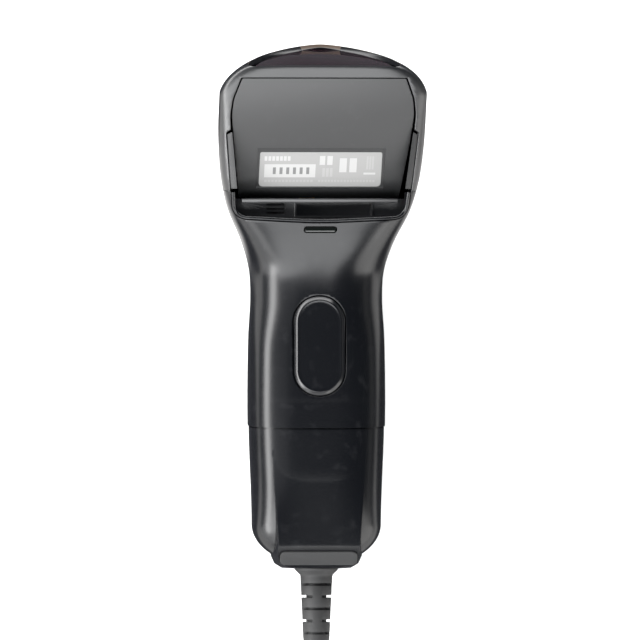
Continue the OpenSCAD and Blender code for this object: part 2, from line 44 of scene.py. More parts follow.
def deselectAll():
    if bpy.context.mode != "OBJECT":
        bpy.ops.object.mode_set(mode="OBJECT")
    bpy.ops.object.select_all(action="DESELECT")


def pick(piece):
    deselectAll()
    piece.select_set(True)
    bpy.context.view_layer.objects.active = piece


def applyModifiers(piece):
    pick(piece)
    for modifier in list(piece.modifiers):
        bpy.ops.object.modifier_apply(modifier=modifier.name)


def editMode(piece, kind="VERT"):
    pick(piece)
    bpy.ops.object.mode_set(mode="EDIT")
    bpy.ops.mesh.select_mode(type=kind)


def objectMode():
    bpy.ops.object.mode_set(mode="OBJECT")


def selectEdges(piece, test):
    editMode(piece, "EDGE")
    bpy.ops.mesh.select_all(action="DESELECT")
    objectMode()
    points = piece.data.vertices
    for edge in piece.data.edges:
        edge.select = test(points[edge.vertices[0]].co / mm, points[edge.vertices[1]].co / mm)
    bpy.ops.object.mode_set(mode="EDIT")


def named(piece, name):
    piece.name = name
    piece.data.name = name
    return piece


def smooth(piece, angle=35):
    pick(piece)
    bpy.ops.object.shade_smooth_by_angle(angle=math.radians(angle))


def pointOutwards(piece):
    editMode(piece)
    bpy.ops.mesh.select_all(action="SELECT")
    bpy.ops.mesh.remove_doubles(threshold=0.000002)
    bpy.ops.mesh.normals_make_consistent(inside=False)
    objectMode()


def flipNormals(piece):
    editMode(piece)
    bpy.ops.mesh.select_all(action="SELECT")
    bpy.ops.mesh.flip_normals()
    objectMode()


def capEnds(piece, weld):
    # welds the seam, then fills whatever is still open
    editMode(piece)
    bpy.ops.mesh.select_all(action="SELECT")
    bpy.ops.mesh.remove_doubles(threshold=weld)
    bpy.ops.mesh.select_all(action="DESELECT")
    bpy.ops.mesh.select_non_manifold()
    bpy.ops.mesh.fill()
    objectMode()
    pointOutwards(piece)


def thicken(piece, wall, side=-1, even=True):
    solidify = piece.modifiers.new("wall", "SOLIDIFY")
    solidify.thickness = wall * mm
    solidify.offset = side
    solidify.use_even_offset = even
    applyModifiers(piece)


def rod(name, radius, length, middle, alongY=False, sides=64):
    deselectAll()
    turn = (math.pi / 2 if alongY else 0, 0, 0)
    bpy.ops.mesh.primitive_cylinder_add(vertices=sides, radius=radius * mm, depth=length * mm,
                                        location=Vector(middle) * mm, rotation=turn)
    return named(bpy.context.active_object, name)


def roundEdges(piece, width, segments=3, angle=35, profile=0.5):
    bevel = piece.modifiers.new("roundEdges", "BEVEL")
    bevel.width = width * mm
    bevel.segments = segments
    bevel.limit_method = "ANGLE"
    bevel.angle_limit = math.radians(angle)
    bevel.profile = profile
    bevel.harden_normals = False
    applyModifiers(piece)


def cut(piece, cutter, keep=False, operation="DIFFERENCE"):
    boolean = piece.modifiers.new("cut", "BOOLEAN")
    boolean.operation = operation
    boolean.solver = "EXACT"
    boolean.object = cutter
    applyModifiers(piece)
    if not keep:
        bpy.data.objects.remove(cutter, do_unlink=True)


def joinInto(piece, others):
    deselectAll()
    for other in others:
        other.select_set(True)
    piece.select_set(True)
    bpy.context.view_layer.objects.active = piece
    bpy.ops.object.join()
    return piece


def addNode(tree, kind, inputs, **settings):
    # a value in inputs is set on the socket, a socket is linked to it
    node = tree.nodes.new("ShaderNode" + kind)
    for name, value in settings.items():
        setattr(node, name, value)
    for name, value in inputs.items():
        if isinstance(value, bpy.types.NodeSocket):
            tree.links.new(value, node.inputs[name])
        else:
            node.inputs[name].default_value = value
    return node


def mathNode(tree, operation, *values):
    return addNode(tree, "Math", dict(enumerate(values)), operation=operation).outputs[0]


def mixColours(tree, factor, first, second):
    return addNode(tree, "Mix", {"Factor": factor, "A": first, "B": second}, data_type="RGBA").outputs["Result"]


# camera, floor and light
cameraSet = {"target": (0.7, -4.5, 22), "distance": 3000, "tilt": 4.0, "across": 204.8, "sensor": 36}


def makeCamera():
    bpy.ops.object.camera_add()
    camera = bpy.context.active_object
    camera.name = "productCamera"
    tilt = math.radians(cameraSet["tilt"])
    target = Vector(cameraSet["target"])
    away = Vector((-math.sin(tilt), 0, math.cos(tilt)))
    across = Vector((math.cos(tilt), 0, math.sin(tilt)))
    frameAxes = Matrix((across, Vector((0, 1, 0)), away)).transposed()
    camera.matrix_world = Matrix.Translation((target + away * cameraSet["distance"]) * mm) @ frameAxes.to_4x4()
    camera.data.sensor_width = cameraSet["sensor"]
    camera.data.lens = cameraSet["sensor"] * cameraSet["distance"] / cameraSet["across"]
    camera.data.clip_start = 0.01
    scene.camera = camera


# paleFrom: which end, and where it turns pale; paleTo: where it is dark again past the nose
floorSet = {"size": 8, "under": 0.2, "roughness": 0.85, "specular": 0.2, "seen": (0.92, 0.92, 0.92, 1),
            "dark": (0.04, 0.04, 0.045, 1), "pale": (0.62, 0.61, 0.60, 1),
            "paleFrom": [(1, 20, 32), (-1, 104, 118)], "slant": 0.45, "paleTo": (60, 38)}


def fade(tree, value, near, far):
    return addNode(tree, "MapRange", {"Value": value, "From Min": near * mm, "From Max": far * mm},
                   interpolation_type="SMOOTHSTEP").outputs["Result"]


def makeFloor():
    bpy.ops.mesh.primitive_plane_add(size=floorSet["size"], location=(0, 0, -floorSet["under"] * mm))
    floor = named(bpy.context.active_object, "paleFloor")
    material = bpy.data.materials.new("paleFloor")
    material.use_nodes = True
    tree = material.node_tree
    shader = tree.nodes["Principled BSDF"]
    shader.inputs["Roughness"].default_value = floorSet["roughness"]
    shader.inputs["Specular IOR Level"].default_value = floorSet["specular"]
    # reflected in the case, the floor is dark beside the grip and pale beyond its two ends
    place = addNode(tree, "TexCoord", {}).outputs["Object"]
    axes = addNode(tree, "SeparateXYZ", {0: place})
    x, y = axes.outputs["X"], axes.outputs["Y"]
    slanted = mathNode(tree, "MULTIPLY", mathNode(tree, "ABSOLUTE", x), floorSet["slant"])
    ends = [fade(tree, mathNode(tree, "MULTIPLY_ADD", y, sign, slanted), near, far)
            for sign, near, far in floorSet["paleFrom"]]
    front = mathNode(tree, "MULTIPLY", ends[0], fade(tree, y, *floorSet["paleTo"]))
    reflected = mixColours(tree, mathNode(tree, "MAXIMUM", front, ends[1]), floorSet["dark"], floorSet["pale"])
    glossy = addNode(tree, "LightPath", {}).outputs["Is Glossy Ray"]
    tree.links.new(mixColours(tree, glossy, floorSet["seen"], reflected), shader.inputs["Base Color"])
    floor.data.materials.append(material)


softboxes = {
    "leftStrip": {"aim": (-5, -30, 15), "from": (-61, 8), "distance": 760, "size": (190, 1500), "power": 11,
                  "tint": (1, 1, 1)},
    "leftFill": {"aim": (-5, -30, 15), "from": (-36, 0), "distance": 900, "size": (560, 1500), "power": 1.1,
                 "tint": (0.97, 0.98, 1)},
    "rightStrip": {"aim": (5, -30, 15), "from": (72, 0), "distance": 900, "size": (200, 1300), "power": 0.35,
                   "tint": (1, 0.97, 0.93)},
    "footBox": {"aim": (0, 30, 30), "from": (-16, -37), "distance": 900, "size": (1100, 500), "power": 8.5,
                "tint": (0.98, 0.99, 1)},
    "lowFront": {"aim": (0, 30, 30), "from": (0, -70), "distance": 1100, "size": (1300, 330), "power": 3.2,
                 "tint": (1, 1, 1)},
    "lowLeft": {"aim": (-20, 0, 15), "from": (-68, -68), "distance": 900, "size": (640, 640), "power": 3.0,
                "tint": (1, 1, 1)},
    "lowRight": {"aim": (20, 0, 15), "from": (68, -68), "distance": 900, "size": (640, 640), "power": 3.8,
                 "tint": (1, 0.99, 0.97)},
    "backBox": {"aim": (0, 20, 30), "from": (0, 69), "distance": 1000, "size": (1500, 560), "power": 20,
                "tint": (1, 1, 1)},
}
studio = {"seen": (0.85, 0.85, 0.86, 1), "reflected": (0.024, 0.029, 0.039, 1)}


def makeLights():
    for name, box in softboxes.items():
        sideways, forward = (math.radians(a) for a in box["from"])
        away = Vector((math.tan(sideways), math.tan(forward), 1)).normalized()
        aim = Vector(box["aim"])
        light = bpy.data.lights.new(name, "AREA")
        light.shape = "RECTANGLE"
        light.size = box["size"][0] * mm
        light.size_y = box["size"][1] * mm
        light.energy = box["power"]
        light.color = box["tint"]
        lamp = bpy.data.objects.new(name, light)
        scene.collection.objects.link(lamp)
        right = Vector((0, 1, 0)).cross(away)
        right = right.normalized() if right.length > 0.01 else Vector((1, 0, 0))
        axes = Matrix((right, away.cross(right), away)).transposed()
        lamp.matrix_world = Matrix.Translation((aim + away * box["distance"]) * mm) @ axes.to_4x4()
        lamp.visible_camera = False
    world = bpy.data.worlds.new("studio")
    scene.world = world
    world.use_nodes = True
    tree = world.node_tree
    background = tree.nodes["Background"]
    glossy = addNode(tree, "LightPath", {}).outputs["Is Glossy Ray"]
    tree.links.new(mixColours(tree, glossy, studio["seen"], studio["reflected"]), background.inputs["Color"])


makeCamera()
makeFloor()
makeLights()
print("camera, floor and lights are set")


# finishes
def groupNodes(name, inputs, outputs):
    group = bpy.data.node_groups.new(name, "ShaderNodeTree")
    for label, kind, value in inputs:
        socket = group.interface.new_socket(name=label, in_out="INPUT", socket_type=kind)
        if value is not None:
            socket.default_value = value
    for label, kind in outputs:
        group.interface.new_socket(name=label, in_out="OUTPUT", socket_type=kind)
    return group, group.nodes.new("NodeGroupInput"), group.nodes.new("NodeGroupOutput")


grain = {"detail": 3, "driftScale": 38, "driftDetail": 4, "wearScale": 260, "wearDetail": 6,
         "wearFrom": 0.58, "wearTo": 0.78, "worn": (0.022, 0.022, 0.023, 1)}


def mouldGrainGroup():
    # fine spark-eroded grain, slow gloss drift, and a little dust and wear, all on the piece's own coordinates
    group, start, end = groupNodes(
        "mouldGrain",
        [("Colour", "NodeSocketColor", (0.02, 0.02, 0.02, 1)), ("Grain Size", "NodeSocketFloat", 1800.0),
         ("Roughness", "NodeSocketFloat", 0.35), ("Roughness Drift", "NodeSocketFloat", 0.05),
         ("Wear", "NodeSocketFloat", 0.15)],
        [("Colour", "NodeSocketColor"), ("Roughness", "NodeSocketFloat"), ("Height", "NodeSocketFloat")])
    given = start.outputs
    place = addNode(group, "TexCoord", {}).outputs["Object"]

    def noise(scale, detail):
        return addNode(group, "TexNoise", {"Vector": place, "Scale": scale, "Detail": detail}).outputs["Fac"]
    height = noise(given["Grain Size"], grain["detail"])
    drift = mathNode(group, "SUBTRACT", noise(grain["driftScale"], grain["driftDetail"]), 0.5)
    rough = mathNode(group, "MULTIPLY_ADD", drift, given["Roughness Drift"], given["Roughness"])
    spots = noise(grain["wearScale"], grain["wearDetail"])
    worn = addNode(group, "MapRange", {"Value": spots, "From Min": grain["wearFrom"],
                                       "From Max": grain["wearTo"]}).outputs["Result"]
    lighter = addNode(group, "Mix", {"Factor": mathNode(group, "MULTIPLY", worn, given["Wear"]),
                                     "A": given["Colour"], "B": grain["worn"]}, data_type="RGBA", blend_type="ADD")
    for name, value in (("Colour", lighter.outputs["Result"]), ("Roughness", rough), ("Height", height)):
        group.links.new(value, end.inputs[name])
    return group


mouldGrain = mouldGrainGroup()


def plainFinish(name, finish):
    # one plastic, rubber or metal: the grain group into the Principled shader
    material = bpy.data.materials.new(name)
    material.use_nodes = True
    tree = material.node_tree
    shader = tree.nodes["Principled BSDF"]
    surface = tree.nodes.new("ShaderNodeGroup")
    surface.node_tree = mouldGrain
    for socket, value in (("Colour", (*finish["colour"], 1)), ("Grain Size", finish.get("grainSize", 1800)),
                          ("Roughness", finish["roughness"]), ("Roughness Drift", finish.get("drift", 0.05)),
                          ("Wear", finish.get("wear", 0.15))):
        surface.inputs[socket].default_value = value
    tree.links.new(surface.outputs["Colour"], shader.inputs["Base Color"])
    tree.links.new(surface.outputs["Roughness"], shader.inputs["Roughness"])
    bump = addNode(tree, "Bump", {"Strength": finish.get("bump", 0.12), "Distance": 0.02 * mm,
                                  "Height": surface.outputs["Height"]})
    tree.links.new(bump.outputs["Normal"], shader.inputs["Normal"])
    for socket, key, usual in (("Metallic", "metal", 0), ("Specular IOR Level", "specular", 0.5),
                               ("Coat Weight", "coat", 0), ("Coat Roughness", "coatRoughness", 0.1),
                               ("Transmission Weight", "clear", 0)):
        shader.inputs[socket].default_value = finish.get(key, usual)
    material.diffuse_color = (*finish["colour"], 1)
    return material


finishes = {
    "caseBlack": {"colour": (0.0019, 0.0023, 0.0033), "roughness": 0.25, "bump": 0.10, "wear": 0.25},
    "bezelBlack": {"colour": (0.0070, 0.0074, 0.0082), "roughness": 0.34, "bump": 0.12, "wear": 0.2,
                   "specular": 0.85},
    "panelBlack": {"colour": (0.0085, 0.0089, 0.0094), "roughness": 0.40, "bump": 0.2, "grainSize": 2400,
                   "wear": 0.2, "specular": 0.8},
    "triggerBlack": {"colour": (0.0028, 0.0032, 0.0042), "roughness": 0.22, "bump": 0.06, "wear": 0.2},
    "rimBrown": {"colour": (0.050, 0.033, 0.022), "roughness": 0.40, "bump": 0.1},
    "trimGrey": {"colour": (0.014, 0.0145, 0.015), "roughness": 0.45, "bump": 0.2},
    "padRubber": {"colour": (0.026, 0.0265, 0.027), "roughness": 0.62, "bump": 0.35, "grainSize": 2600,
                  "specular": 0.3},
    "bootRubber": {"colour": (0.017, 0.0172, 0.0175), "roughness": 0.60, "bump": 0.35, "grainSize": 2600},
    "cordBlack": {"colour": (0.012, 0.012, 0.013), "roughness": 0.42, "bump": 0.15},
    "gasketFoam": {"colour": (0.012, 0.012, 0.012), "roughness": 0.9, "bump": 0.6, "grainSize": 3500},
    "windowTint": {"colour": (0.0075, 0.0035, 0.0052), "roughness": 0.06, "bump": 0.0, "drift": 0.01,
                   "wear": 0.02, "coat": 0.6, "coatRoughness": 0.03},
    "pipeSmoke": {"colour": (0.004, 0.0055, 0.0045), "roughness": 0.12, "bump": 0.02, "drift": 0.02,
                  "coat": 0.3},
    "labelFilm": {"colour": (0.235, 0.235, 0.231), "roughness": 0.42, "bump": 0.05, "grainSize": 4000,
                  "wear": 0.0},
    "labelPatch": {"colour": (0.340, 0.340, 0.336), "roughness": 0.45, "bump": 0.03, "wear": 0.0},
    "labelGrey": {"colour": (0.270, 0.270, 0.266), "roughness": 0.45, "bump": 0.03, "wear": 0.0},
    "labelInk": {"colour": (0.13, 0.13, 0.13), "roughness": 0.5, "bump": 0.03, "wear": 0.0},
    "ledWhite": {"colour": (0.75, 0.78, 0.70), "roughness": 0.2, "bump": 0.02},
    "recessBlack": {"colour": (0.0115, 0.0120, 0.0130), "roughness": 0.30, "bump": 0.15, "specular": 0.9},
    "innerBlack": {"colour": (0.014, 0.014, 0.015), "roughness": 0.5, "bump": 0.25},
    "guideGrey": {"colour": (0.09, 0.092, 0.096), "roughness": 0.45, "bump": 0.15},
    "plungerRed": {"colour": (0.34, 0.045, 0.025), "roughness": 0.35, "bump": 0.08},
    "springSteel": {"colour": (0.55, 0.56, 0.58), "roughness": 0.25, "metal": 1, "bump": 0.05},
    "screwSteel": {"colour": (0.58, 0.59, 0.60), "roughness": 0.3, "metal": 1, "bump": 0.08},
    "boardGreen": {"colour": (0.012, 0.095, 0.045), "roughness": 0.3, "bump": 0.1, "coat": 0.2},
    "chipBlack": {"colour": (0.012, 0.012, 0.013), "roughness": 0.55, "bump": 0.2},
    "plugIvory": {"colour": (0.62, 0.57, 0.45), "roughness": 0.45, "bump": 0.1},
    "wireRed": {"colour": (0.36, 0.03, 0.025), "roughness": 0.4, "bump": 0.08},
    "chassisZinc": {"colour": (0.36, 0.37, 0.39), "roughness": 0.42, "metal": 1, "bump": 0.3, "grainSize": 1200},
    "laserBrass": {"colour": (0.60, 0.42, 0.18), "roughness": 0.25, "metal": 1, "bump": 0.06},
    "lensGlass": {"colour": (0.85, 0.92, 0.95), "roughness": 0.03, "bump": 0.0, "clear": 1.0, "wear": 0.0,
                  "drift": 0.01},
    "mirrorCoat": {"colour": (0.85, 0.87, 0.89), "roughness": 0.03, "metal": 1, "bump": 0.0, "wear": 0.0,
                   "drift": 0.01},
    "magnetNickel": {"colour": (0.42, 0.42, 0.43), "roughness": 0.3, "metal": 1, "bump": 0.08},
    "coilCopper": {"colour": (0.52, 0.22, 0.08), "roughness": 0.32, "metal": 1, "bump": 0.4, "grainSize": 3000},
    "flexAmber": {"colour": (0.42, 0.22, 0.04), "roughness": 0.25, "bump": 0.05, "coat": 0.3},
    "plugBlack": {"colour": (0.011, 0.011, 0.012), "roughness": 0.4, "bump": 0.2},
    "plugSteel": {"colour": (0.62, 0.63, 0.64), "roughness": 0.22, "metal": 1, "bump": 0.05},
    "tongueWhite": {"colour": (0.72, 0.72, 0.71), "roughness": 0.4, "bump": 0.08},
}
materials = {name: plainFinish(name, finish) for name, finish in finishes.items()}


def dress(piece, *names):
    piece.data.materials.clear()
    for name in names:
        piece.data.materials.append(materials[name])


nodeFinishes = {
    "window_gasket": "gasketFoam", "status_led": "ledWhite", "buzzer": "innerBlack", "trigger_guide": "guideGrey",
    "trigger_springs": "springSteel", "tact_switch": "innerBlack", "switch_plunger": "plungerRed",
    "main_board": "boardGreen", "board_chips": "chipBlack", "board_screws": "screwSteel",
    "cable_header": "plugIvory", "cable_connector": "plugIvory", "signal_wires": "wireRed",
    "engine_chassis": "chassisZinc", "engine_screws": "screwSteel", "laser_module": "laserBrass",
    "laser_lens": "lensGlass", "mirror_pin": "springSteel", "mirror_holder": "innerBlack",
    "scan_mirror": "mirrorCoat", "mirror_magnet": "magnetNickel", "drive_coil": "coilCopper",
    "photodiode_board": "boardGreen", "photodiode": "chipBlack", "engine_flex": "flexAmber",
    "cable_inner": "cordBlack", "cable_clamp": "screwSteel", "usb_shell": "plugSteel", "usb_tongue": "tongueWhite",
    # these are replaced below, and keep a fitting finish underneath
    "back_case": "caseBlack", "grip_cover": "caseBlack", "front_bezel": "bezelBlack", "tail_cap": "caseBlack",
    "tail_foot": "padRubber", "scan_window": "windowTint", "optics_cover": "panelBlack",
    "rating_label": "labelFilm", "side_trims": "trimGrey", "recess_tray": "innerBlack", "light_pipe": "pipeSmoke",
    "trigger_cap": "triggerBlack", "strain_relief": "bootRubber", "cord_tube": "cordBlack",
    "cord_coil": "cordBlack", "cord_tie": "innerBlack", "usb_grip": "plugBlack",
}
for node, finish in nodeFinishes.items():
    dress(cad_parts[node], finish)
print("finishes are on the nodes")


def formGrid(name, across, along, place):
    # a plane grid, pulled onto the form: place takes 0 to 1 both ways
    deselectAll()
    bpy.ops.mesh.primitive_grid_add(x_subdivisions=across, y_subdivisions=along, size=1, location=(0, 0, 0))
    piece = named(bpy.context.active_object, name)
    for vertex in piece.data.vertices:
        vertex.co = place(vertex.co.x + 0.5, vertex.co.y + 0.5)
    piece.data.update()
    return piece


def roundedPath(corners, closed=False, step=0.6):
    # corners are (x, y, radius); gives an evenly stepped line with its corners rounded
    path = []
    count = len(corners)
    for i, (x, y, radius) in enumerate(corners):
        here = Vector((x, y))
        if not closed and i in (0, count - 1) or radius <= 0:
            path.append(here)
            continue
        before = Vector(corners[i - 1][:2]) - here
        after = Vector(corners[(i + 1) % count][:2]) - here
        turn = math.pi - before.angle(after)
        reach = min(radius * math.tan(turn / 2), before.length * 0.49, after.length * 0.49)
        bend = max(4, int(turn / math.radians(9)))
        a, b = here + before.normalized() * reach, here + after.normalized() * reach
        for k in range(bend + 1):
            t = k / bend
            path.append(a * (1 - t) ** 2 + here * (2 * t * (1 - t)) + b * t * t)
    if closed:
        path.append(path[0].copy())
    dense = [path[0]]
    for a, b in zip(path, path[1:]):
        pieces = max(1, int((b - a).length / step))
        for k in range(1, pieces + 1):
            dense.append(a.lerp(b, k / pieces))
    return dense


def sidewaysOf(path, closed):
    # unit vectors to the right of the way the path runs
    out = []
    last = len(path) - 1
    for i in range(len(path)):
        if closed:
            before, after = path[i - 1 if i else last - 1], path[i + 1 if i < last else 1]
        else:
            before, after = path[max(0, i - 1)], path[min(last, i + 1)]
        way = (after - before).normalized()
        out.append(Vector((way.y, -way.x)))
    return out


def offsetPath(path, closed, distance):
    return [point + out * distance for point, out in zip(path, sidewaysOf(path, closed))]


# the cord: out of the boot, down to the table and round a stored coil, up to its plug
cord = {
    "diameter": 5.2, "start": (0, -118.5, 15), "exit": (0, -121.75, 15),
    "lead": [(0, -121.75, 15), (0, -126, 14.8), (0, -130, 14.2), (1, -138, 11.6), (3, -145, 8.4), (6, -151.5, 5.4),
             (9.6, -156.6, 3.7)],
    "centre": (-12, -186), "startAngle": 45, "turned": 2755, "step": 15,
    "layers": (3.2, 8.4, 13.6), "rings": (36.2, 31.0, 25.8),
    # at how many degrees of winding the cord shifts to the next ring or layer
    "shifts": [(360, 31.0, 3.2), (720, 25.8, 3.2), (990, 25.8, 8.4), (1260, 31.0, 8.4), (1620, 36.2, 8.4),
               (1890, 36.2, 13.6), (2160, 31.0, 13.6), (2520, 25.8, 13.6)],
    "shiftLength": 90, "plugHeight": 20.4,
    # the last stretch climbs to the plug: angle from, step, points, and how far it moves in
    "lastTurn": (170, 5, 16, 5.2),
}


def ramp(u):
    u = max(0.0, min(1.0, u))
    return u * u * (3 - 2 * u)


def coilPoint(turned):
    ring, height = cord["rings"][0], cord["layers"][0]
    for start, nextRing, nextHeight in cord["shifts"]:
        u = ramp((turned - start) / cord["shiftLength"])
        ring, height = ring + (nextRing - ring) * u, height + (nextHeight - height) * u
    angle = math.radians(cord["startAngle"] - turned)
    return (cord["centre"][0] + ring * math.cos(angle), cord["centre"][1] + ring * math.sin(angle), height)


def makeCord():
    route = [cord["start"]] + cord["lead"]
    route += [coilPoint(t) for t in range(0, cord["turned"], cord["step"])]
    start, step, count, inward = cord["lastTurn"]
    for i in range(count):
        angle = math.radians(start - step * i)
        ring = cord["rings"][1] - inward * (1 - ramp((i - 3) / 9))
        route.append((cord["centre"][0] + ring * math.cos(angle), cord["centre"][1] + ring * math.sin(angle),
                      cord["layers"][2] + (cord["plugHeight"] - cord["layers"][2]) * ramp(i / 8)))
    deselectAll()
    bpy.ops.curve.primitive_bezier_curve_add(location=(0, 0, 0))
    piece = named(bpy.context.active_object, "cordLead")
    curve = piece.data
    curve.splines.clear()
    spline = curve.splines.new("BEZIER")
    spline.bezier_points.add(len(route) - 1)
    for point, place in zip(spline.bezier_points, route):
        point.co = Vector(place) * mm
        point.handle_left_type = point.handle_right_type = "AUTO"
    curve.resolution_u = 4
    curve.bevel_depth = cord["diameter"] / 2 * mm
    curve.bevel_resolution = 5
    curve.use_fill_caps = True
    dress(piece, "cordBlack")
    return piece


def boxPiece(name, low, high):
    deselectAll()
    middle = [(a + b) / 2 * mm for a, b in zip(low, high)]
    size = [(b - a) * mm for a, b in zip(low, high)]
    bpy.ops.mesh.primitive_cube_add(size=1, location=(0, 0, 0))
    piece = named(bpy.context.active_object, name)
    editMode(piece)
    bpy.ops.mesh.select_all(action="SELECT")
    bpy.ops.transform.resize(value=size, center_override=(0, 0, 0))
    bpy.ops.transform.translate(value=middle)
    objectMode()
    return piece


plug = {"tip": (-14.5, -155, 20.4), "coneLength": 8, "coneRadii": (3.1, 3.6), "bodyFrom": 7.9,
        "body": (21, 15.8, 8), "corner": 2.2, "firstRib": 14.5, "ribs": 4, "ribGap": 2.6, "ribWidth": 1.0,
        "ribHalf": 5.2, "ribDepth": 0.45, "upright": 0.8, "ribEdge": 0.15, "coneEdge": 0.3}


def makePlugGrip():
    x, y, z = plug["tip"]
    length, wide, high = plug["body"]
    start = x + plug["bodyFrom"]
    grip = boxPiece("plugGrip", (start, y - wide / 2, z - high / 2), (start + length, y + wide / 2, z + high / 2))
    selectEdges(grip, lambda a, b: abs(a.x - b.x) < 0.01 and abs(a.y - b.y) < 0.01)
    bpy.ops.mesh.bevel(offset=plug["upright"] * mm, segments=3)
    objectMode()
    roundEdges(grip, plug["corner"], 5, 50)
    for side in (-1, 1):
        for i in range(plug["ribs"]):
            middle = x + plug["firstRib"] + i * plug["ribGap"]
            cut(grip, boxPiece("groove", (middle - plug["ribWidth"] / 2, y - plug["ribHalf"],
                                          z + side * (high / 2 - plug["ribDepth"])),
                               (middle + plug["ribWidth"] / 2, y + plug["ribHalf"], z + side * (high / 2 + 1))))
    roundEdges(grip, plug["ribEdge"], 2, 40)
    deselectAll()
    small, large = plug["coneRadii"]
    bpy.ops.mesh.primitive_cone_add(vertices=48, radius1=small * mm, radius2=large * mm,
                                    depth=(plug["coneLength"] + 1) * mm, location=(0, 0, 0))
    cone = named(bpy.context.active_object, "plugCone")
    for vertex in cone.data.vertices:
        along, across, up = vertex.co.z, vertex.co.y, -vertex.co.x
        vertex.co = Vector((along, across, up)) + Vector((x + (plug["coneLength"] + 1) / 2, y, z)) * mm
    pointOutwards(cone)
    roundEdges(cone, plug["coneEdge"], 3, 50)
    joinInto(grip, [cone])
    smooth(grip)
    dress(grip, "plugBlack")
    return grip


tie = {"middle": (-12, -224.8), "width": 8, "across": (-0.8, 17.2), "high": 16.8, "thick": 0.6, "corner": 3.0,
       "flap": (3.2, 12.5), "flapThick": 0.5, "edge": 0.15, "flapEdge": 0.2}


def makeTie():
    # a strap laid round the bundle, closed by its own overlap
    y0, y1 = (tie["middle"][1] + a for a in tie["across"])
    high, corner = tie["high"], tie["corner"]
    outer = roundedPath([(y0, 0, corner), (y1, 0, corner), (y1, high, corner), (y0, high, corner)], True)
    inner = offsetPath(outer, True, -tie["thick"])[:-1]
    outer = outer[:-1]
    count = len(outer)
    half = tie["width"] / 2
    section = [(outer, -half), (outer, half), (inner, half), (inner, -half), (outer, -half)]

    def place(u, v):
        path, x = section[round(v * 4)]
        point = path[min(round(u * count), count) % count]
        return Vector((tie["middle"][0] + x, point.x, point.y)) * mm
    strap = formGrid("cordStrap", count, 4, place)
    pointOutwards(strap)
    roundEdges(strap, tie["edge"], 2, 50)
    near, far = tie["flap"]
    flap = boxPiece("strapFlap", (tie["middle"][0] - half, y0 + near, high - 0.1),
                    (tie["middle"][0] + half, y0 + far, high + tie["flapThick"]))
    roundEdges(flap, tie["flapEdge"], 2, 50)
    joinInto(strap, [flap])
    smooth(strap)
    dress(strap, "innerBlack")
    return strap


cordLead = makeCord()
plugGrip = makePlugGrip()
cordStrap = makeTie()
for piece in (cordLead, plugGrip, cordStrap):
    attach(piece, "housing")
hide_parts("cord_tube", "cord_coil")
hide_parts("usb_grip")
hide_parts("cord_tie")
print("the cord, its strap and its plug are made")

# the body's form: sections that lean more and more towards the nose
form = {
    "rimEnd": 75.5, "capLine": -38.3, "coverEnd": 36.1, "noseRun": 8.0, "level": 15,
    # the rounded tail: where it begins at the sides, front and back, and how long it is
    "sideTail": (-70, 21.0, 13.5), "frontTail": (-52, 31.5), "backTail": (-66, 17.5),
    "headHalf": 33.0, "headLean": math.tan(math.radians(21)),
    "throat": 24.0, "backBend": 8.0, "backStraight": 50.0, "backLean": math.radians(32), "flat": 0.35,
    "cornerWidth": 16.0, "cornerLength": 13.2, "cornerStart": 64.5, "cornerOut": 0.55,
    # how square the sections are in front and behind, and how far the cap's parting line dips
    "frontPower": 2.7, "backPower": 3.2, "seamDip": 0.05,
    "side": [(-70, 21.0), (-37, 22.0), (-11, 21.8), (3, 21.1), (12, 21.7), (21, 24.5), (30.7, 29.0), (40.3, 31.5),
             (50, 32.6), (61, 33.0)],
}


def quarter(u):
    return math.sqrt(max(0.0, 1 - u * u))


def curveThrough(points, y):
    if y <= points[0][0]:
        return points[0][1]
    if y >= points[-1][0]:
        return points[-1][1]

    def slope(i):
        if i in (0, len(points) - 1):
            return 0
        return (points[i + 1][1] - points[i - 1][1]) / (points[i + 1][0] - points[i - 1][0])

    i = max(k for k in range(len(points) - 1) if points[k][0] <= y)
    h = points[i + 1][0] - points[i][0]
    t = (y - points[i][0]) / h
    return ((2 * t ** 3 - 3 * t * t + 1) * points[i][1] + (t ** 3 - 2 * t * t + t) * h * slope(i)
            + (3 * t * t - 2 * t ** 3) * points[i + 1][1] + (t ** 3 - t * t) * h * slope(i + 1))


def halfWidth(y):
    start, wide, long = form["sideTail"]
    if y < start:
        return wide * quarter((start - y) / long)
    wide = curveThrough(form["side"], y)
    if y > form["cornerStart"]:
        wide = min(wide, form["headHalf"] - form["cornerWidth"] + form["cornerOut"]
                   + form["cornerWidth"] * quarter((y - form["cornerStart"]) / form["cornerLength"]))
    return wide


def frontLine(y):
    lean, throat, level = form["headLean"], form["throat"], form["level"]
    start, long = form["frontTail"]
    if y < start:
        return level + level * quarter((start - y) / long)
    if y < 0:
        return 2 * level
    if y < throat:
        return 2 * level + lean / (2 * throat) * y * y
    return 2 * level + lean * throat / 2 + lean * (y - throat)


def backLine(y):
    radius = (form["backStraight"] - form["backBend"]) / math.sin(form["backLean"])
    start, long = form["backTail"]
    if y < start:
        return form["level"] - (form["level"] + form["flat"]) * quarter((start - y) / long)
    if y < form["backBend"]:
        return -form["flat"]
    if y < form["backStraight"]:
        return radius - math.sqrt(radius ** 2 - (y - form["backBend"]) ** 2) - form["flat"]
    return (radius * (1 - math.cos(form["backLean"])) + (y - form["backStraight"]) * math.tan(form["backLean"])
            - form["flat"])


def sectionAt(y):
    # front line, direction to the back line, depth in front of and behind the widest level
    run = form["noseRun"] * ramp(y / form["rimEnd"])
    front = Vector((0, y, frontLine(y)))
    along = Vector((0, run, backLine(y + run) - front.z))
    total = along.length
    along.normalize()
    level = form["level"]
    depth = front.z - level if y < 0 else level - 6.7 * ramp((y - 5) / 45) - 5.3 * ramp((y - 52) / 23.5)
    return front, along, depth, total - depth


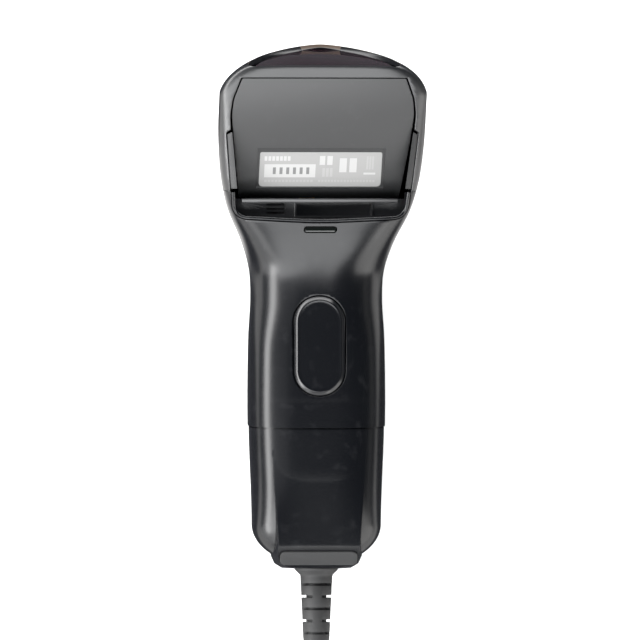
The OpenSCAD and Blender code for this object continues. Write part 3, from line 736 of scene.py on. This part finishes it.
def bodyPoint(y, angle, inset=0.0, lift=0.0):
    front, along, depth, behind = sectionAt(y)
    middle = front + along * depth
    across = halfWidth(middle.y) - inset
    c, s = math.cos(angle), math.sin(angle)
    if s >= 0:
        neck = ramp((y + 16) / 18) * (1 - ramp((y - 8) / 16))
        power, high = form["frontPower"] + 1.8 * ramp((y - 10) / 25) - 0.5 * neck, depth - inset
    else:
        power, high = form["backPower"] - 1.7 * ramp((y - 20) / 55), behind - inset
    reach = ((abs(c) / across) ** power + (abs(s) / high) ** power) ** (-1 / power)
    point = middle - along * (reach * s + lift)
    point.x = reach * c
    # the tail cap's parting line dips a little over the front
    point.y -= form["seamDip"] * max(0.0, point.z - form["level"]) * math.exp(-((y - form["capLine"]) / 9) ** 2)
    if inset < 1:
        point.z = max(0.0, point.z)
    return point * mm


def prism(name, outline, low, high, spread=0.0):
    # closed outline in the XY plane, filled and extruded from high down to low
    deselectAll()
    bpy.ops.mesh.primitive_circle_add(vertices=len(outline), radius=1, fill_type="NGON", location=(0, 0, 0))
    piece = named(bpy.context.active_object, name)
    for vertex, (x, y) in zip(piece.data.vertices, outline):
        vertex.co = Vector((x, y, high)) * mm
    editMode(piece)
    bpy.ops.mesh.select_all(action="SELECT")
    bpy.ops.mesh.extrude_region_move(TRANSFORM_OT_translate={"value": (0, 0, (low - high) * mm)})
    objectMode()
    if spread:
        middle = sum((Vector((x, y, 0)) for x, y in outline), Vector()) / len(outline)
        for vertex in piece.data.vertices:
            if abs(vertex.co.z / mm - low) < 0.01:
                flat = Vector((vertex.co.x / mm, vertex.co.y / mm, 0)) - middle
                grown = middle + flat * (1 + spread / flat.length)
                vertex.co = Vector((grown.x, grown.y, low)) * mm
    pointOutwards(piece)
    return piece


def heightReader(piece):
    # reads the height of a surface straight below a point, and remembers the surface as it is now
    tree = BVHTree.FromObject(piece, bpy.context.evaluated_depsgraph_get())

    def heightAt(x, y):
        hit = tree.ray_cast(Vector((x, y, 200)) * mm, Vector((0, 0, -1)))[0]
        return hit.z / mm if hit else None
    return heightAt


# a bead's outer flank: distance out from the bead's width, and depth below the surface
beadFlank = [(0.3, 0.8), (0.02, 0.7), (-0.03, 0.22), (-0.1, 0.1), (-0.2, 0.03), (-0.32, 0.0)]


def edgeLip(name, path, heightAt, radius, deep, closed, bead=0.0, arc=7):
    # rounded edge round an opening and the wall below it; the solid is to the right of the path
    sideways = sidewaysOf(path, closed)
    levels = []
    for point, out in zip(path, sideways):
        a = heightAt(point.x + out.x * 0.15, point.y + out.y * 0.15)
        b = heightAt(point.x + out.x * 0.75, point.y + out.y * 0.75)
        levels.append(None if a is None or b is None else (a - 0.25 * (b - a), (b - a) / 0.6))
    rows = []
    for i, (point, out) in enumerate(zip(path, sideways)):
        known = min((k for k, level in enumerate(levels) if level), key=lambda k: abs(k - i))
        height, slope = levels[known]
        stretch = math.sqrt(1 + slope * slope)
        centre = height + slope * radius - radius * stretch
        start = math.atan2(1, -slope)
        tangent = radius - slope * radius / stretch
        if bead:
            row = [(bead + s, height + slope * (bead + s) - down) for s, down in beadFlank]
        else:
            row = [(tangent + 0.35, height + slope * (tangent + 0.35) - 0.03)]
        for k in range(arc + 1):
            angle = start + (math.pi - start) * k / arc
            row.append((radius + radius * math.cos(angle), centre + radius * math.sin(angle)))
        row += [(0, centre - deep * 0.5), (0, centre - deep)]
        rows.append([Vector((point.x + out.x * s, point.y + out.y * s, z)) * mm for s, z in row])
    count = len(rows[0]) - 1
    last = len(rows) - 1
    lip = formGrid(name, count, last, lambda u, v: rows[round(v * last)][round(u * count)])
    if closed:
        editMode(lip)
        bpy.ops.mesh.select_all(action="SELECT")
        bpy.ops.mesh.remove_doubles(threshold=0.00001)
        objectMode()
    # turn the faces to the open side
    row = round(last / 2)
    inward = Vector((-sideways[row].x, -sideways[row].y, 0.6))
    near = min(lip.data.polygons, key=lambda f: (f.center - rows[row][count // 2]).length)
    if near.normal.dot(inward) < 0:
        flipNormals(lip)
    smooth(lip, 60)
    return lip


detail = 1.0


def halfShell(name, front, y0, y1, columns=150, step=0.8):
    gap = 0.06 if front else -0.06
    rows = max(4, int((y1 - y0) / step * detail))
    sweep = (0.0, math.pi) if front else (math.pi, 2 * math.pi)

    def place(u, v):
        return bodyPoint(y0 + (y1 - y0) * v, sweep[0] + (sweep[1] - sweep[0]) * u, 0.0, gap)
    shell = formGrid(name, int(columns * detail), rows, place)
    facing = sum(face.normal.z * face.area for face in shell.data.polygons)
    if (facing > 0) != front:
        flipNormals(shell)
    return shell


def closedForm(name, y0, y1, inset, columns, rows, tip=False):
    def place(u, v):
        along = math.sin(math.pi / 2 * v) if tip else v
        return bodyPoint(y0 + (y1 - y0) * along, 2 * math.pi * u, inset)
    piece = formGrid(name, columns, rows, place)
    capEnds(piece, 0.000001)
    return piece


def cutOpening(shell, path, closed, grown, top=70, low=16, beyond=()):
    edge = offsetPath(path, closed, grown)
    if closed:
        edge = edge[:-1]
    outline = [(p.x, p.y) for p in edge] + list(beyond)
    cut(shell, prism("cutter", outline, low, top))


def openWithLip(shell, path, closed, radius, deep, beyond=(), bead=0.0):
    heightAt = heightReader(shell)
    lip = edgeLip(shell.name + "Lip", path, heightAt, radius, deep, closed, bead)
    cutOpening(shell, path, closed, bead + 0.24 if bead else radius * 0.8, beyond=beyond)
    return lip


def stadium(length, width, alongX=False, step=5):
    # closed line round an oval with straight sides, counterclockwise
    radius, straight = width / 2, (length - width) / 2
    points = [(radius * math.cos(math.radians(a)), straight + radius * math.sin(math.radians(a)))
              for a in range(0, 181, step)]
    points += [(radius * math.cos(math.radians(a)), -straight + radius * math.sin(math.radians(a)))
               for a in range(180, 361, step)]
    if alongX:
        points = [(y, -x) for x, y in points]
    points.append(points[0])
    return [Vector(p) for p in points]


def slab(name, x0, x1, y0, y1, height, thick, columns=24, rows=12):
    def place(u, v):
        x, y = x0 + (x1 - x0) * u, y0 + (y1 - y0) * v
        return Vector((x, y, height(x, y))) * mm
    piece = formGrid(name, columns, rows, place)
    if piece.data.polygons[0].normal.z < 0:
        flipNormals(piece)
    thicken(piece, abs(thick), -1 if thick > 0 else 1, False)
    return piece


shells = {"wall": 2.0, "backWall": 2.2, "edge": 0.2, "fineEdge": 0.12, "lipRadius": 0.68, "lipDepth": 3.2,
          "bead": 1.3, "collar": (-6, 2), "collarInset": 0.9, "boreInset": 3.2,
          "windowFacing": (0, 0.939, 0.345), "rimFrom": 74.5, "seamZone": (-44, -30)}


def trimSpikes(shell, inset=0.0):
    # thin points left beside the parting line by the rounding are drawn back to the outline
    low, top = shells["seamZone"]
    for vertex in shell.data.vertices:
        x, y, z = vertex.co / mm
        if not low < y < top:
            continue
        front, along, depth, behind = sectionAt(y)
        middle = front.z - depth
        power, high = (form["frontPower"], depth) if z > middle else (form["backPower"], behind)
        wide, high = halfWidth(y) - inset, high - inset
        size = ((abs(x) / wide) ** power + (abs(z - middle) / high) ** power) ** (1 / power)
        if size > 1.001:
            x, z = x / size, middle + (z - middle) / size
        vertex.co = Vector((x, y, max(0.0, z))) * mm


def makeBackShell():
    shell = halfShell("backShell", False, form["capLine"] + 0.02, form["rimEnd"])
    thicken(shell, shells["backWall"])
    roundEdges(shell, shells["edge"], 2, 55)
    trimSpikes(shell)
    low, high = (form["capLine"] + a for a in shells["collar"])
    collar = closedForm("collar", low, high, shells["collarInset"], 120, 8)
    cut(collar, closedForm("bore", low - 1, high + 1, shells["boreInset"], 96, 8))
    joinInto(shell, [collar])
    # the rim round the window, seen from the trigger side, is coloured warm brown
    normal = Vector(shells["windowFacing"])
    dress(shell, "caseBlack", "rimBrown")
    smooth(shell, 40)
    for face in shell.data.polygons:
        if face.normal.dot(normal) > 0.93 and face.center.y > shells["rimFrom"] * mm:
            face.material_index = 1
    return shell


triggerHole = {"middle": -12.8, "length": 32.3, "width": 16.9, "lip": (0.35, 2.6)}
ledSlot = {"middle": 24.3, "length": 10.6, "width": 2.0, "lip": (0.16, 2.0)}
recess = {"corners": [(-27.35, 36.2, 0), (-26.6, 29.0, 5.6), (0, 27.55, 200), (26.6, 29.0, 5.6), (27.35, 36.2, 0)]}


def makeGripShell():
    shell = halfShell("gripShell", True, form["capLine"] + 0.02, form["coverEnd"])
    thicken(shell, shells["wall"])
    recessPath = roundedPath(recess["corners"])
    lips = [openWithLip(shell, recessPath, False, shells["lipRadius"], shells["lipDepth"],
                        beyond=[(29.5, 45), (-29.5, 45)], bead=shells["bead"])]
    for hole, turned, step in ((triggerHole, False, 5), (ledSlot, True, 15)):
        line = stadium(hole["length"], hole["width"], turned, step)
        lips.append(openWithLip(shell, [p + Vector((0, hole["middle"])) for p in line], True, *hole["lip"]))
    roundEdges(shell, shells["fineEdge"], 2, 75)
    trimSpikes(shell)
    smooth(shell, 40)
    joinInto(shell, lips)
    dress(shell, "caseBlack")
    return shell


bezel = {"start": 36.25, "radius": 0.3, "deep": 2.2,
         "corners": [(28.82, 36.25, 0), (30.6, 54.9, 0.8), (30.0, 55.5, 0.4), (29.2, 55.9, 0.4), (29.55, 60.5, 12),
                     (28.9, 65.6, 8), (26.4, 72.2, 0.7), (-26.4, 72.2, 0.7), (-28.9, 65.6, 8), (-29.55, 60.5, 12),
                     (-29.2, 55.9, 0.4), (-30.0, 55.5, 0.4), (-30.6, 54.9, 0.8), (-28.82, 36.25, 0)]}


def makeBezelShell():
    shell = halfShell("bezelShell", True, bezel["start"], form["rimEnd"])
    thicken(shell, shells["wall"])
    path = roundedPath(bezel["corners"])
    lip = openWithLip(shell, path, False, bezel["radius"], bezel["deep"], beyond=[(-28.82, 30), (28.82, 30)])
    roundEdges(shell, shells["fineEdge"], 2, 75)
    smooth(shell, 40)
    joinInto(shell, [lip])
    dress(shell, "bezelBlack")
    return shell


tail = {"start": -38.42, "stop": -83.44, "inset": 0.3, "wall": 2.3, "wallEnd": -77.3, "bore": 5.1,
        "heelHalf": [(15.0, -46.3), (12.9, -75.2), (12.9, -79.4), (11.9, -81.6), (9.6, -82.8), (6.0, -83.3)],
        "heelSide": [(-44.3, 14), (-44.3, 31.5), (-74.1, 31.5), (-84.5, 22.77), (-84.5, 14)],
        "heelTop": (29.6, 29.3), "heelCrown": (0.0015, 0.00018),
        "heelRise": (-53.5, -76.7), "heelFlattens": (-50, -76), "heelSpread": 1.9, "heelEnd": -84.2,
        "heelEdge": 0.32, "rimEdge": 0.38, "footSlope": 40, "footAt": (0, -80.2, 25.9),
        "foot": (24.8, 5.6, 1.0), "footRadius": 2.25, "footGap": 0.15,
        "footEdge": 0.3}


def sidePrism(name, outline, half):
    # outline in the YZ plane, extruded along X
    piece = prism(name, outline, -half, half)
    for vertex in piece.data.vertices:
        vertex.co = Vector((vertex.co.z, vertex.co.x, vertex.co.y))
    pointOutwards(piece)
    return piece


def footPlate(name, wide, long, low, high, radius):
    x, y = wide / 2, long / 2
    path = roundedPath([(-x, -y, radius), (x, -y, radius), (x, y, radius), (-x, y, radius)], True)
    plate = prism(name, [(p.x, p.y) for p in path[:-1]], low, high)
    plate.data.transform(Matrix.Translation(Vector(tail["footAt"]) * mm)
                         @ Matrix.Rotation(math.radians(tail["footSlope"]), 4, "X"))
    return plate


def makeTailShell():
    shell = closedForm("tailShell", tail["start"], tail["stop"], tail["inset"], int(180 * detail),
                       int(96 * detail), True)
    half = tail["heelHalf"]
    heel = prism("heel", half + [(-x, y) for x, y in reversed(half)], form["level"], 30.4, tail["heelSpread"])
    for vertex in heel.data.vertices:
        vertex.co.y = max(vertex.co.y, tail["heelEnd"] * mm)
    cut(heel, sidePrism("heelSide", tail["heelSide"], 20), operation="INTERSECT")
    high, low = tail["heelTop"]
    crown, flatter = tail["heelCrown"]

    def between(y, ends):
        return (ends[0] - y) / (ends[0] - ends[1])

    def heelTop(x, y):
        arch = crown + (flatter - crown) * ramp(between(y, tail["heelFlattens"]))
        return high + (low - high) * max(0.0, between(y, tail["heelRise"])) - arch * abs(x) ** form["frontPower"]
    cut(heel, slab("heelTop", -18, 18, -86, -43, heelTop, 17, 36, 43), operation="INTERSECT")
    roundEdges(heel, tail["heelEdge"], 3, 24)
    cut(shell, heel, operation="UNION")
    inner = closedForm("inner", tail["start"] + 1, tail["wallEnd"], tail["inset"] + tail["wall"], 96, 30)
    cut(shell, inner)
    wide, long = tail["foot"][:2]
    gap = tail["footGap"]
    cut(shell, footPlate("pocket", wide + 2 * gap, long + 2 * gap, -0.05, 9, tail["footRadius"] + gap))
    cut(shell, rod("bore", tail["bore"], 12, (0, -81, form["level"]), True))

    def onRim(p):
        return abs(p.y - tail["start"] + form["seamDip"] * max(0.0, p.z - form["level"])) < 0.02
    selectEdges(shell, lambda a, b: onRim(a) and onRim(b))
    bpy.ops.mesh.bevel(offset=tail["rimEdge"] * mm, segments=3)
    objectMode()
    trimSpikes(shell, tail["inset"])
    smooth(shell, 32)
    dress(shell, "caseBlack")
    return shell


def makeTailPad():
    wide, long, thick = tail["foot"]
    pad = footPlate("tailPad", wide, long, 0.0, thick, tail["footRadius"])
    roundEdges(pad, tail["footEdge"], 4, 50)
    smooth(pad)
    dress(pad, "padRubber")
    return pad


backShell = makeBackShell()
gripShell = makeGripShell()
bezelShell = makeBezelShell()
print("the case's halves and the bezel are made")
tailShell = makeTailShell()
tailPad = makeTailPad()
print("the tail cap and its pad are made")

window = {"nose": (75.5, 54.375), "slope": -69.8, "level": (-2.4, -0.8), "inset": 2.3, "edge": 0.3}


def noseOutline(inset, count=96):
    # the rim's outline, measured across and down the plane of the window
    points = []
    for i in range(count):
        p = bodyPoint(form["rimEnd"], 2 * math.pi * i / count, inset) / mm
        points.append((p.x, math.hypot(p.y - window["nose"][0], p.z - window["nose"][1])))
    return points


def atWindow(piece):
    turn = (Matrix.Translation(Vector((0, *window["nose"])) * mm)
            @ Matrix.Rotation(math.radians(window["slope"]), 4, "X"))
    piece.data.transform(turn)
    return piece


def makeWindowPane():
    pane = atWindow(prism("windowPane", noseOutline(window["inset"]), *window["level"]))
    roundEdges(pane, window["edge"], 3, 50)
    smooth(pane, 30)
    dress(pane, "windowTint")
    return pane


windowPane = makeWindowPane()

# the panel behind the head's opening, with a pocket for the label
panel = {"top": 72.2, "bulge": 0.00815, "crown": 0.0016, "wall": 1.6, "sink": 0.1, "edge": 0.25,
         "half": [(0, 34.6, 0), (25.6, 34.6, 0.6), (28.0, 51.5, 30), (28.95, 60.5, 16), (28.45, 65.5, 8),
                  (26.0, 71.95, 0.5), (0, 71.95, 0)],
         "pocket": (20.3, 37.6, 50.5), "pocketDepth": (0.35, 0.9)}


def panelHeight(x, y):
    d = panel["top"] - y
    height = frontLine(panel["top"]) - form["headLean"] * d
    return height - panel["bulge"] * d * d - panel["crown"] * x * x - panel["sink"]


def pocketFloor(x, y):
    y0, y1 = panel["pocket"][1:]
    low = panelHeight(0, y0) - panel["pocketDepth"][0]
    high = panelHeight(0, y1) - panel["pocketDepth"][1]
    return low + (high - low) * (y - y0) / (y1 - y0) - panel["crown"] * x * x


def makeOpticsPanel():
    piece = slab("opticsPanel", -30, 30, 34, 72.6, panelHeight, panel["wall"], int(90 * detail), int(110 * detail))
    right = roundedPath(panel["half"])
    outline = [(p.x, p.y) for p in right] + [(-p.x, p.y) for p in reversed(right[1:-1])]
    cut(piece, prism("outline", outline, 10, 70), operation="INTERSECT")
    half, y0, y1 = panel["pocket"]
    cut(piece, slab("pocket", -half, half, y0, y1, pocketFloor, -8))
    roundEdges(piece, panel["edge"], 3, 45)
    smooth(piece, 30)
    dress(piece, "panelBlack")
    return piece


label = {"half": 19.5, "y": (38.1, 48.9), "thick": 0.14, "corner": 0.7, "edge": 0.04, "barFill": 0.72,
         "digitFill": 0.45, "lift": 0.02, "digitLift": 0.035, "patch": (-17.9, -1.6, 41.0, 45.1),
         # rows of generic marks: x from, x to, y from, y to, how many, finish
         "rows": [(-18.0, -9.4, 46.2, 47.6, 7, "labelPatch"), (-0.4, 4.4, 44.9, 47.7, 2, "labelPatch"),
                  (0.6, 4.2, 41.2, 43.9, 3, "labelGrey"), (13.8, 17.6, 41.9, 42.5, 1, "labelPatch"),
                  (6.0, 12.4, 42.6, 47.0, 2, "labelPatch"), (14.6, 17.2, 43.5, 47.6, 3, "labelGrey"),
                  (-17.8, -2.0, 39.5, 40.2, 14, "labelGrey"), (-0.6, 17.8, 39.5, 40.2, 18, "labelGrey")],
         "digits": (-15.2, -2.4, 42.0, 44.1, 6)}


def labelTop(lift):
    return lambda x, y: pocketFloor(x, y) + label["thick"] + lift


def makeLabelPlate():
    y0, y1 = label["y"]
    half = label["half"]
    plate = slab("labelPlate", -half, half, y0, y1, labelTop(0), label["thick"] - 0.02, 26, 8)
    corners = [(-half, y0, label["corner"] * 2), (half, y0, label["corner"] * 2), (half, y1, label["corner"]),
               (-half, y1, label["corner"])]
    outline = [(p.x, p.y) for p in roundedPath(corners, True)[:-1]]
    cut(plate, prism("outline", outline, 10, 70), operation="INTERSECT")
    roundEdges(plate, label["edge"], 1, 60)
    dress(plate, "labelFilm")
    marks = []

    def mark(x0, x1, low, high, finish, lift=label["lift"]):
        piece = slab("mark", x0, x1, low, high, labelTop(lift), label["lift"], 4, 2)
        dress(piece, finish)
        marks.append(piece)
    x0, x1, low, high = label["patch"]
    mark(x0, x1, low, high, "labelPatch")
    for x0, x1, low, high, count, finish in label["rows"]:
        pitch = (x1 - x0) / count
        fill = label["barFill"] if count > 1 else 1
        for i in range(count):
            mark(x0 + pitch * i, x0 + pitch * (i + fill), low, high, finish)
    x0, x1, low, high, count = label["digits"]
    pitch = (x1 - x0) / count
    for i in range(count):
        mark(x0 + pitch * i, x0 + pitch * (i + label["digitFill"]), low, high, "labelInk", label["digitLift"])
    joinInto(plate, marks)
    smooth(plate, 30)
    return plate


opticsPanel = makeOpticsPanel()
labelPlate = makeLabelPlate()
print("the window, the panel and its label are made")

trim = {"outer": [(28.75, 37.3), (30.35, 54.4), (28.85, 55.15), (26.85, 37.3)], "under": 0.25, "edge": 0.18,
        "side": [(36.1, 66), (36.1, 30.6), (55.3, 39), (56, 66)]}


def makeTrims():
    sides = [prism("trim", [(side * x, y) for x, y in trim["outer"]], 10, 70) for side in (-1, 1)]
    trims = joinInto(sides[0], sides[1:])
    named(trims, "sideTrims")
    pointOutwards(trims)
    cut(trims, sidePrism("side", trim["side"], 40), operation="INTERSECT")
    cut(trims, closedForm("surface", 30, 62, trim["under"], 144, 30), operation="INTERSECT")
    roundEdges(trims, trim["edge"], 3, 40)
    smooth(trims, 35)
    dress(trims, "trimGrey")
    return trims


tray = {"floor": (27.1, 28.7), "end": 34.2, "wall": 0.6, "edge": 0.22,
        "ridge": [(32.9, 27.6), (34.35, 27.6), (34.35, 31.3), (34.0, 31.42), (32.9, 31.0)],
        "ridgeHalf": 25.0, "ridgeEdge": 0.16, "socket": (-7.4, 16.6, 28.8, 32.6), "rim": 0.7, "rimHigh": 0.6,
        "rimEdge": 0.3,
        # middle across, rows, length and width
        "vents": (-14.0, (29.7, 31.05, 32.4), 6.0, 0.75)}


def makeTray():
    low, high = tray["floor"]
    path = roundedPath(recess["corners"])
    wider = offsetPath(path, False, 0.5)
    outline = [(p.x, min(p.y, tray["end"])) for p in wider if p.y < tray["end"] + 0.6]
    piece = prism("recessTray", outline, low, high)
    ridge = sidePrism("ridge", tray["ridge"], tray["ridgeHalf"])
    roundEdges(ridge, tray["ridgeEdge"], 3, 15)
    x0, x1, s0, s1 = tray["socket"]
    rim = tray["rim"]
    frameBox = boxPiece("socketFrame", (x0 - rim, s0 - rim, high - 5.2),
                        (x1 + rim, s1 + rim, high + tray["rimHigh"]))
    roundEdges(frameBox, tray["rimEdge"], 3, 50)
    cut(piece, frameBox, operation="UNION")
    cut(piece, ridge, operation="UNION")
    cut(piece, boxPiece("socket", (x0, s0, high - 4), (x1, s1, high + 3)))
    x, rows, long, wide = tray["vents"]
    for y in rows:
        line = [(p.x + x, p.y + y) for p in stadium(long, wide, True, 20)[:-1]]
        cut(piece, prism("vent", line, low - 2, high + 2))
    # the wall that closes the recess up to the case
    wallPath = offsetPath(path, False, 0.02)
    count = len(wallPath) - 1

    def wallPoint(u, v):
        point = wallPath[round(u * count)]
        return Vector((point.x, point.y, high - 0.5 + 4.5 * v)) * mm
    wall = formGrid("trayWall", count, 4, wallPoint)
    thicken(wall, tray["wall"], 1 if wall.data.polygons[0].normal.x < 0 else -1, False)
    roundEdges(piece, tray["edge"], 3, 45)
    joinInto(piece, [wall])
    smooth(piece, 35)
    dress(piece, "recessBlack")
    return piece


sideTrims = makeTrims()
recessTray = makeTray()
print("the side trims and the recess are made")


def ovalButton(name, length, width, profile, middle, crown=0.0, alongX=False, step=3):
    # profile: how far in from the edge, and the height there
    rows = []
    for inward, height in profile:
        line = stadium(length - 2 * inward, max(width - 2 * inward, 0.0001), alongX, step)
        rows.append([Vector((p.x + middle[0], p.y + middle[1], height - crown * p.x * p.x)) for p in line])
    count, last = len(rows[0]) - 1, len(rows) - 1
    piece = formGrid(name, count, last, lambda u, v: rows[round(v * last)][round(u * count)] * mm)
    capEnds(piece, 0.0000015)
    return piece


def arcProfile(start, radius, turns, steps=6):
    # quarter rounds: (inward, height) of the centre and the angles passed through
    centre, (a, b) = start, turns
    return [(centre[0] - radius * math.cos(math.radians(a + (b - a) * i / steps)),
             centre[1] + radius * math.sin(math.radians(a + (b - a) * i / steps))) for i in range(steps + 1)]


trigger = {"length": 31.8, "width": 16.4, "middle": (0, -12.8), "top": 30.75, "slope": 0.72, "rim": 1.15,
           "dish": 0.13, "flange": (25.9, 26.9), "flangeOut": 0.9, "wallTop": 28.2, "crown": 0.0085,
           "post": 1.5, "postLength": 5.1, "postMiddle": 23.45, "posts": 11,
           "postEdge": 0.2}


def makeTriggerButton():
    top, slope, rim, dish = (trigger[key] for key in ("top", "slope", "rim", "dish"))
    low, high = trigger["flange"]
    profile = [(-trigger["flangeOut"], low), (-trigger["flangeOut"], high), (0, high), (0, trigger["wallTop"])]
    profile += [(0, top - slope - 0.2), (0.03, top - slope - 0.08), (0.12, top - slope)]
    profile += [(0.12 + rim * t, top - slope * (1 - t) ** 1.25) for t in (0.2, 0.4, 0.6, 0.8, 0.93)]
    profile += [(0.12 + rim, top - 0.005), (0.27 + rim, top - 0.02), (0.42 + rim, top - 0.07),
                (0.6 + rim, top - dish)]
    profile += [(d, top - dish - 0.05 * math.sin(math.pi * (d - 1.9) / 12.6))
                for d in (2.4, 3.2, 4.2, 5.4, 6.6, 7.6, 8.1, 8.2)]
    button = ovalButton("triggerButton", trigger["length"], trigger["width"], profile, trigger["middle"],
                        trigger["crown"])
    posts = []
    for side in (-1, 1):
        middle = (0, trigger["middle"][1] + side * trigger["posts"], trigger["postMiddle"])
        post = rod("post", trigger["post"], trigger["postLength"], middle, sides=32)
        bpy.ops.object.transform_apply(location=True, rotation=True, scale=True)
        roundEdges(post, trigger["postEdge"], 2, 60)
        posts.append(post)
    joinInto(button, posts)
    smooth(button, 35)
    dress(button, "triggerBlack")
    return button


lens = {"length": 10.3, "width": 1.7, "low": 21.1, "high": 34.1, "round": 0.25, "roundAt": 33.95,
        "face": [(0.5, 34.28), (0.84, 34.3)]}


def makeLedLens():
    radius = lens["round"]
    profile = [(0, lens["low"]), (0, lens["high"])] + arcProfile((radius, lens["roundAt"]), radius, (0, 80), 3)
    profile += lens["face"]
    piece = ovalButton("ledLens", lens["length"], lens["width"], profile, (0, ledSlot["middle"]), 0.0, True, 10)
    smooth(piece, 40)
    dress(piece, "pipeSmoke")
    return piece


triggerButton = makeTriggerButton()
ledLens = makeLedLens()
print("the trigger and the indicator's lens are made")

boot = {"start": -83.75, "height": 15, "core": 3.25, "edge": 0.13,
        # radius and how far along, once round the section
        "profile": [(2.61, -8.6), (5.9, -8.6), (5.9, -6.6), (5.0, -6.6), (5.0, 0), (6.75, 0), (7.0, 0.25),
                    (7.0, 0.6), (6.7, 1.05), (6.0, 1.7), (5.35, 2.3), (5.12, 2.9), (5.1, 3.4), (4.75, 11),
                    (4.35, 20), (3.85, 31), (3.62, 37.2), (3.52, 37.8), (3.3, 38), (2.61, 38)],
        "slits": 8, "first": 5, "pitch": 3.9, "slitWidth": 0.9, "keep": 1.5, "reach": 10.5, "half": 9}


def makeReliefBoot():
    profile = boot["profile"]
    deselectAll()
    bpy.ops.mesh.primitive_circle_add(vertices=len(profile), radius=1, location=(0, 0, 0))
    piece = named(bpy.context.active_object, "reliefBoot")
    for vertex, (radius, along) in zip(piece.data.vertices, profile):
        vertex.co = Vector((radius, boot["start"] - along, 0)) * mm
    editMode(piece)
    bpy.ops.mesh.select_all(action="SELECT")
    bpy.ops.mesh.spin(steps=64, angle=2 * math.pi, center=(0, 0, 0), axis=(0, 1, 0))
    objectMode()
    pointOutwards(piece)
    piece.data.transform(Matrix.Translation((0, 0, boot["height"] * mm)))
    slits = []
    for i in range(boot["slits"]):
        y = boot["start"] - boot["first"] - boot["pitch"] * i
        for side in (-1, 1):
            low, high = sorted((side * boot["keep"], side * boot["reach"]))
            half, middle, back = boot["half"], boot["height"], y - boot["slitWidth"]
            if i % 2 == 0:
                ends = (-half, back, middle + low), (half, y, middle + high)
            else:
                ends = (low, back, middle - half), (high, y, middle + half)
            slits.append(boxPiece("slit", *ends))
    slits = joinInto(slits[0], slits[1:])
    cut(slits, rod("core", boot["core"], 50, (0, -100, boot["height"]), True))
    cut(piece, slits)
    roundEdges(piece, boot["edge"], 2, 40)
    smooth(piece, 40)
    dress(piece, "bootRubber")
    return piece


reliefBoot = makeReliefBoot()
print("the strain relief is made")

# each piece, the node that it stands for and its slot
standsFor = [
    (backShell, "back_case", "case_black"), (gripShell, "grip_cover", "case_black"),
    (bezelShell, "front_bezel", "bezel_black"), (tailShell, "tail_cap", "case_black"),
    (tailPad, "tail_foot", "foot_rubber"), (windowPane, "scan_window", "window_red"),
    (opticsPanel, "optics_cover", "cover_grey_black"), (labelPlate, "rating_label", "label_silver"),
    (sideTrims, "side_trims", "bezel_black"), (recessTray, "recess_tray", "inner_black"),
    (ledLens, "light_pipe", "light_pipe_clear"), (triggerButton, "trigger_cap", "trigger_black"),
    (reliefBoot, "strain_relief", "boot_rubber"),
]
for piece, node, slot in standsFor:
    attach(piece, "trigger" if piece is triggerButton else "housing")
    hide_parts(node)
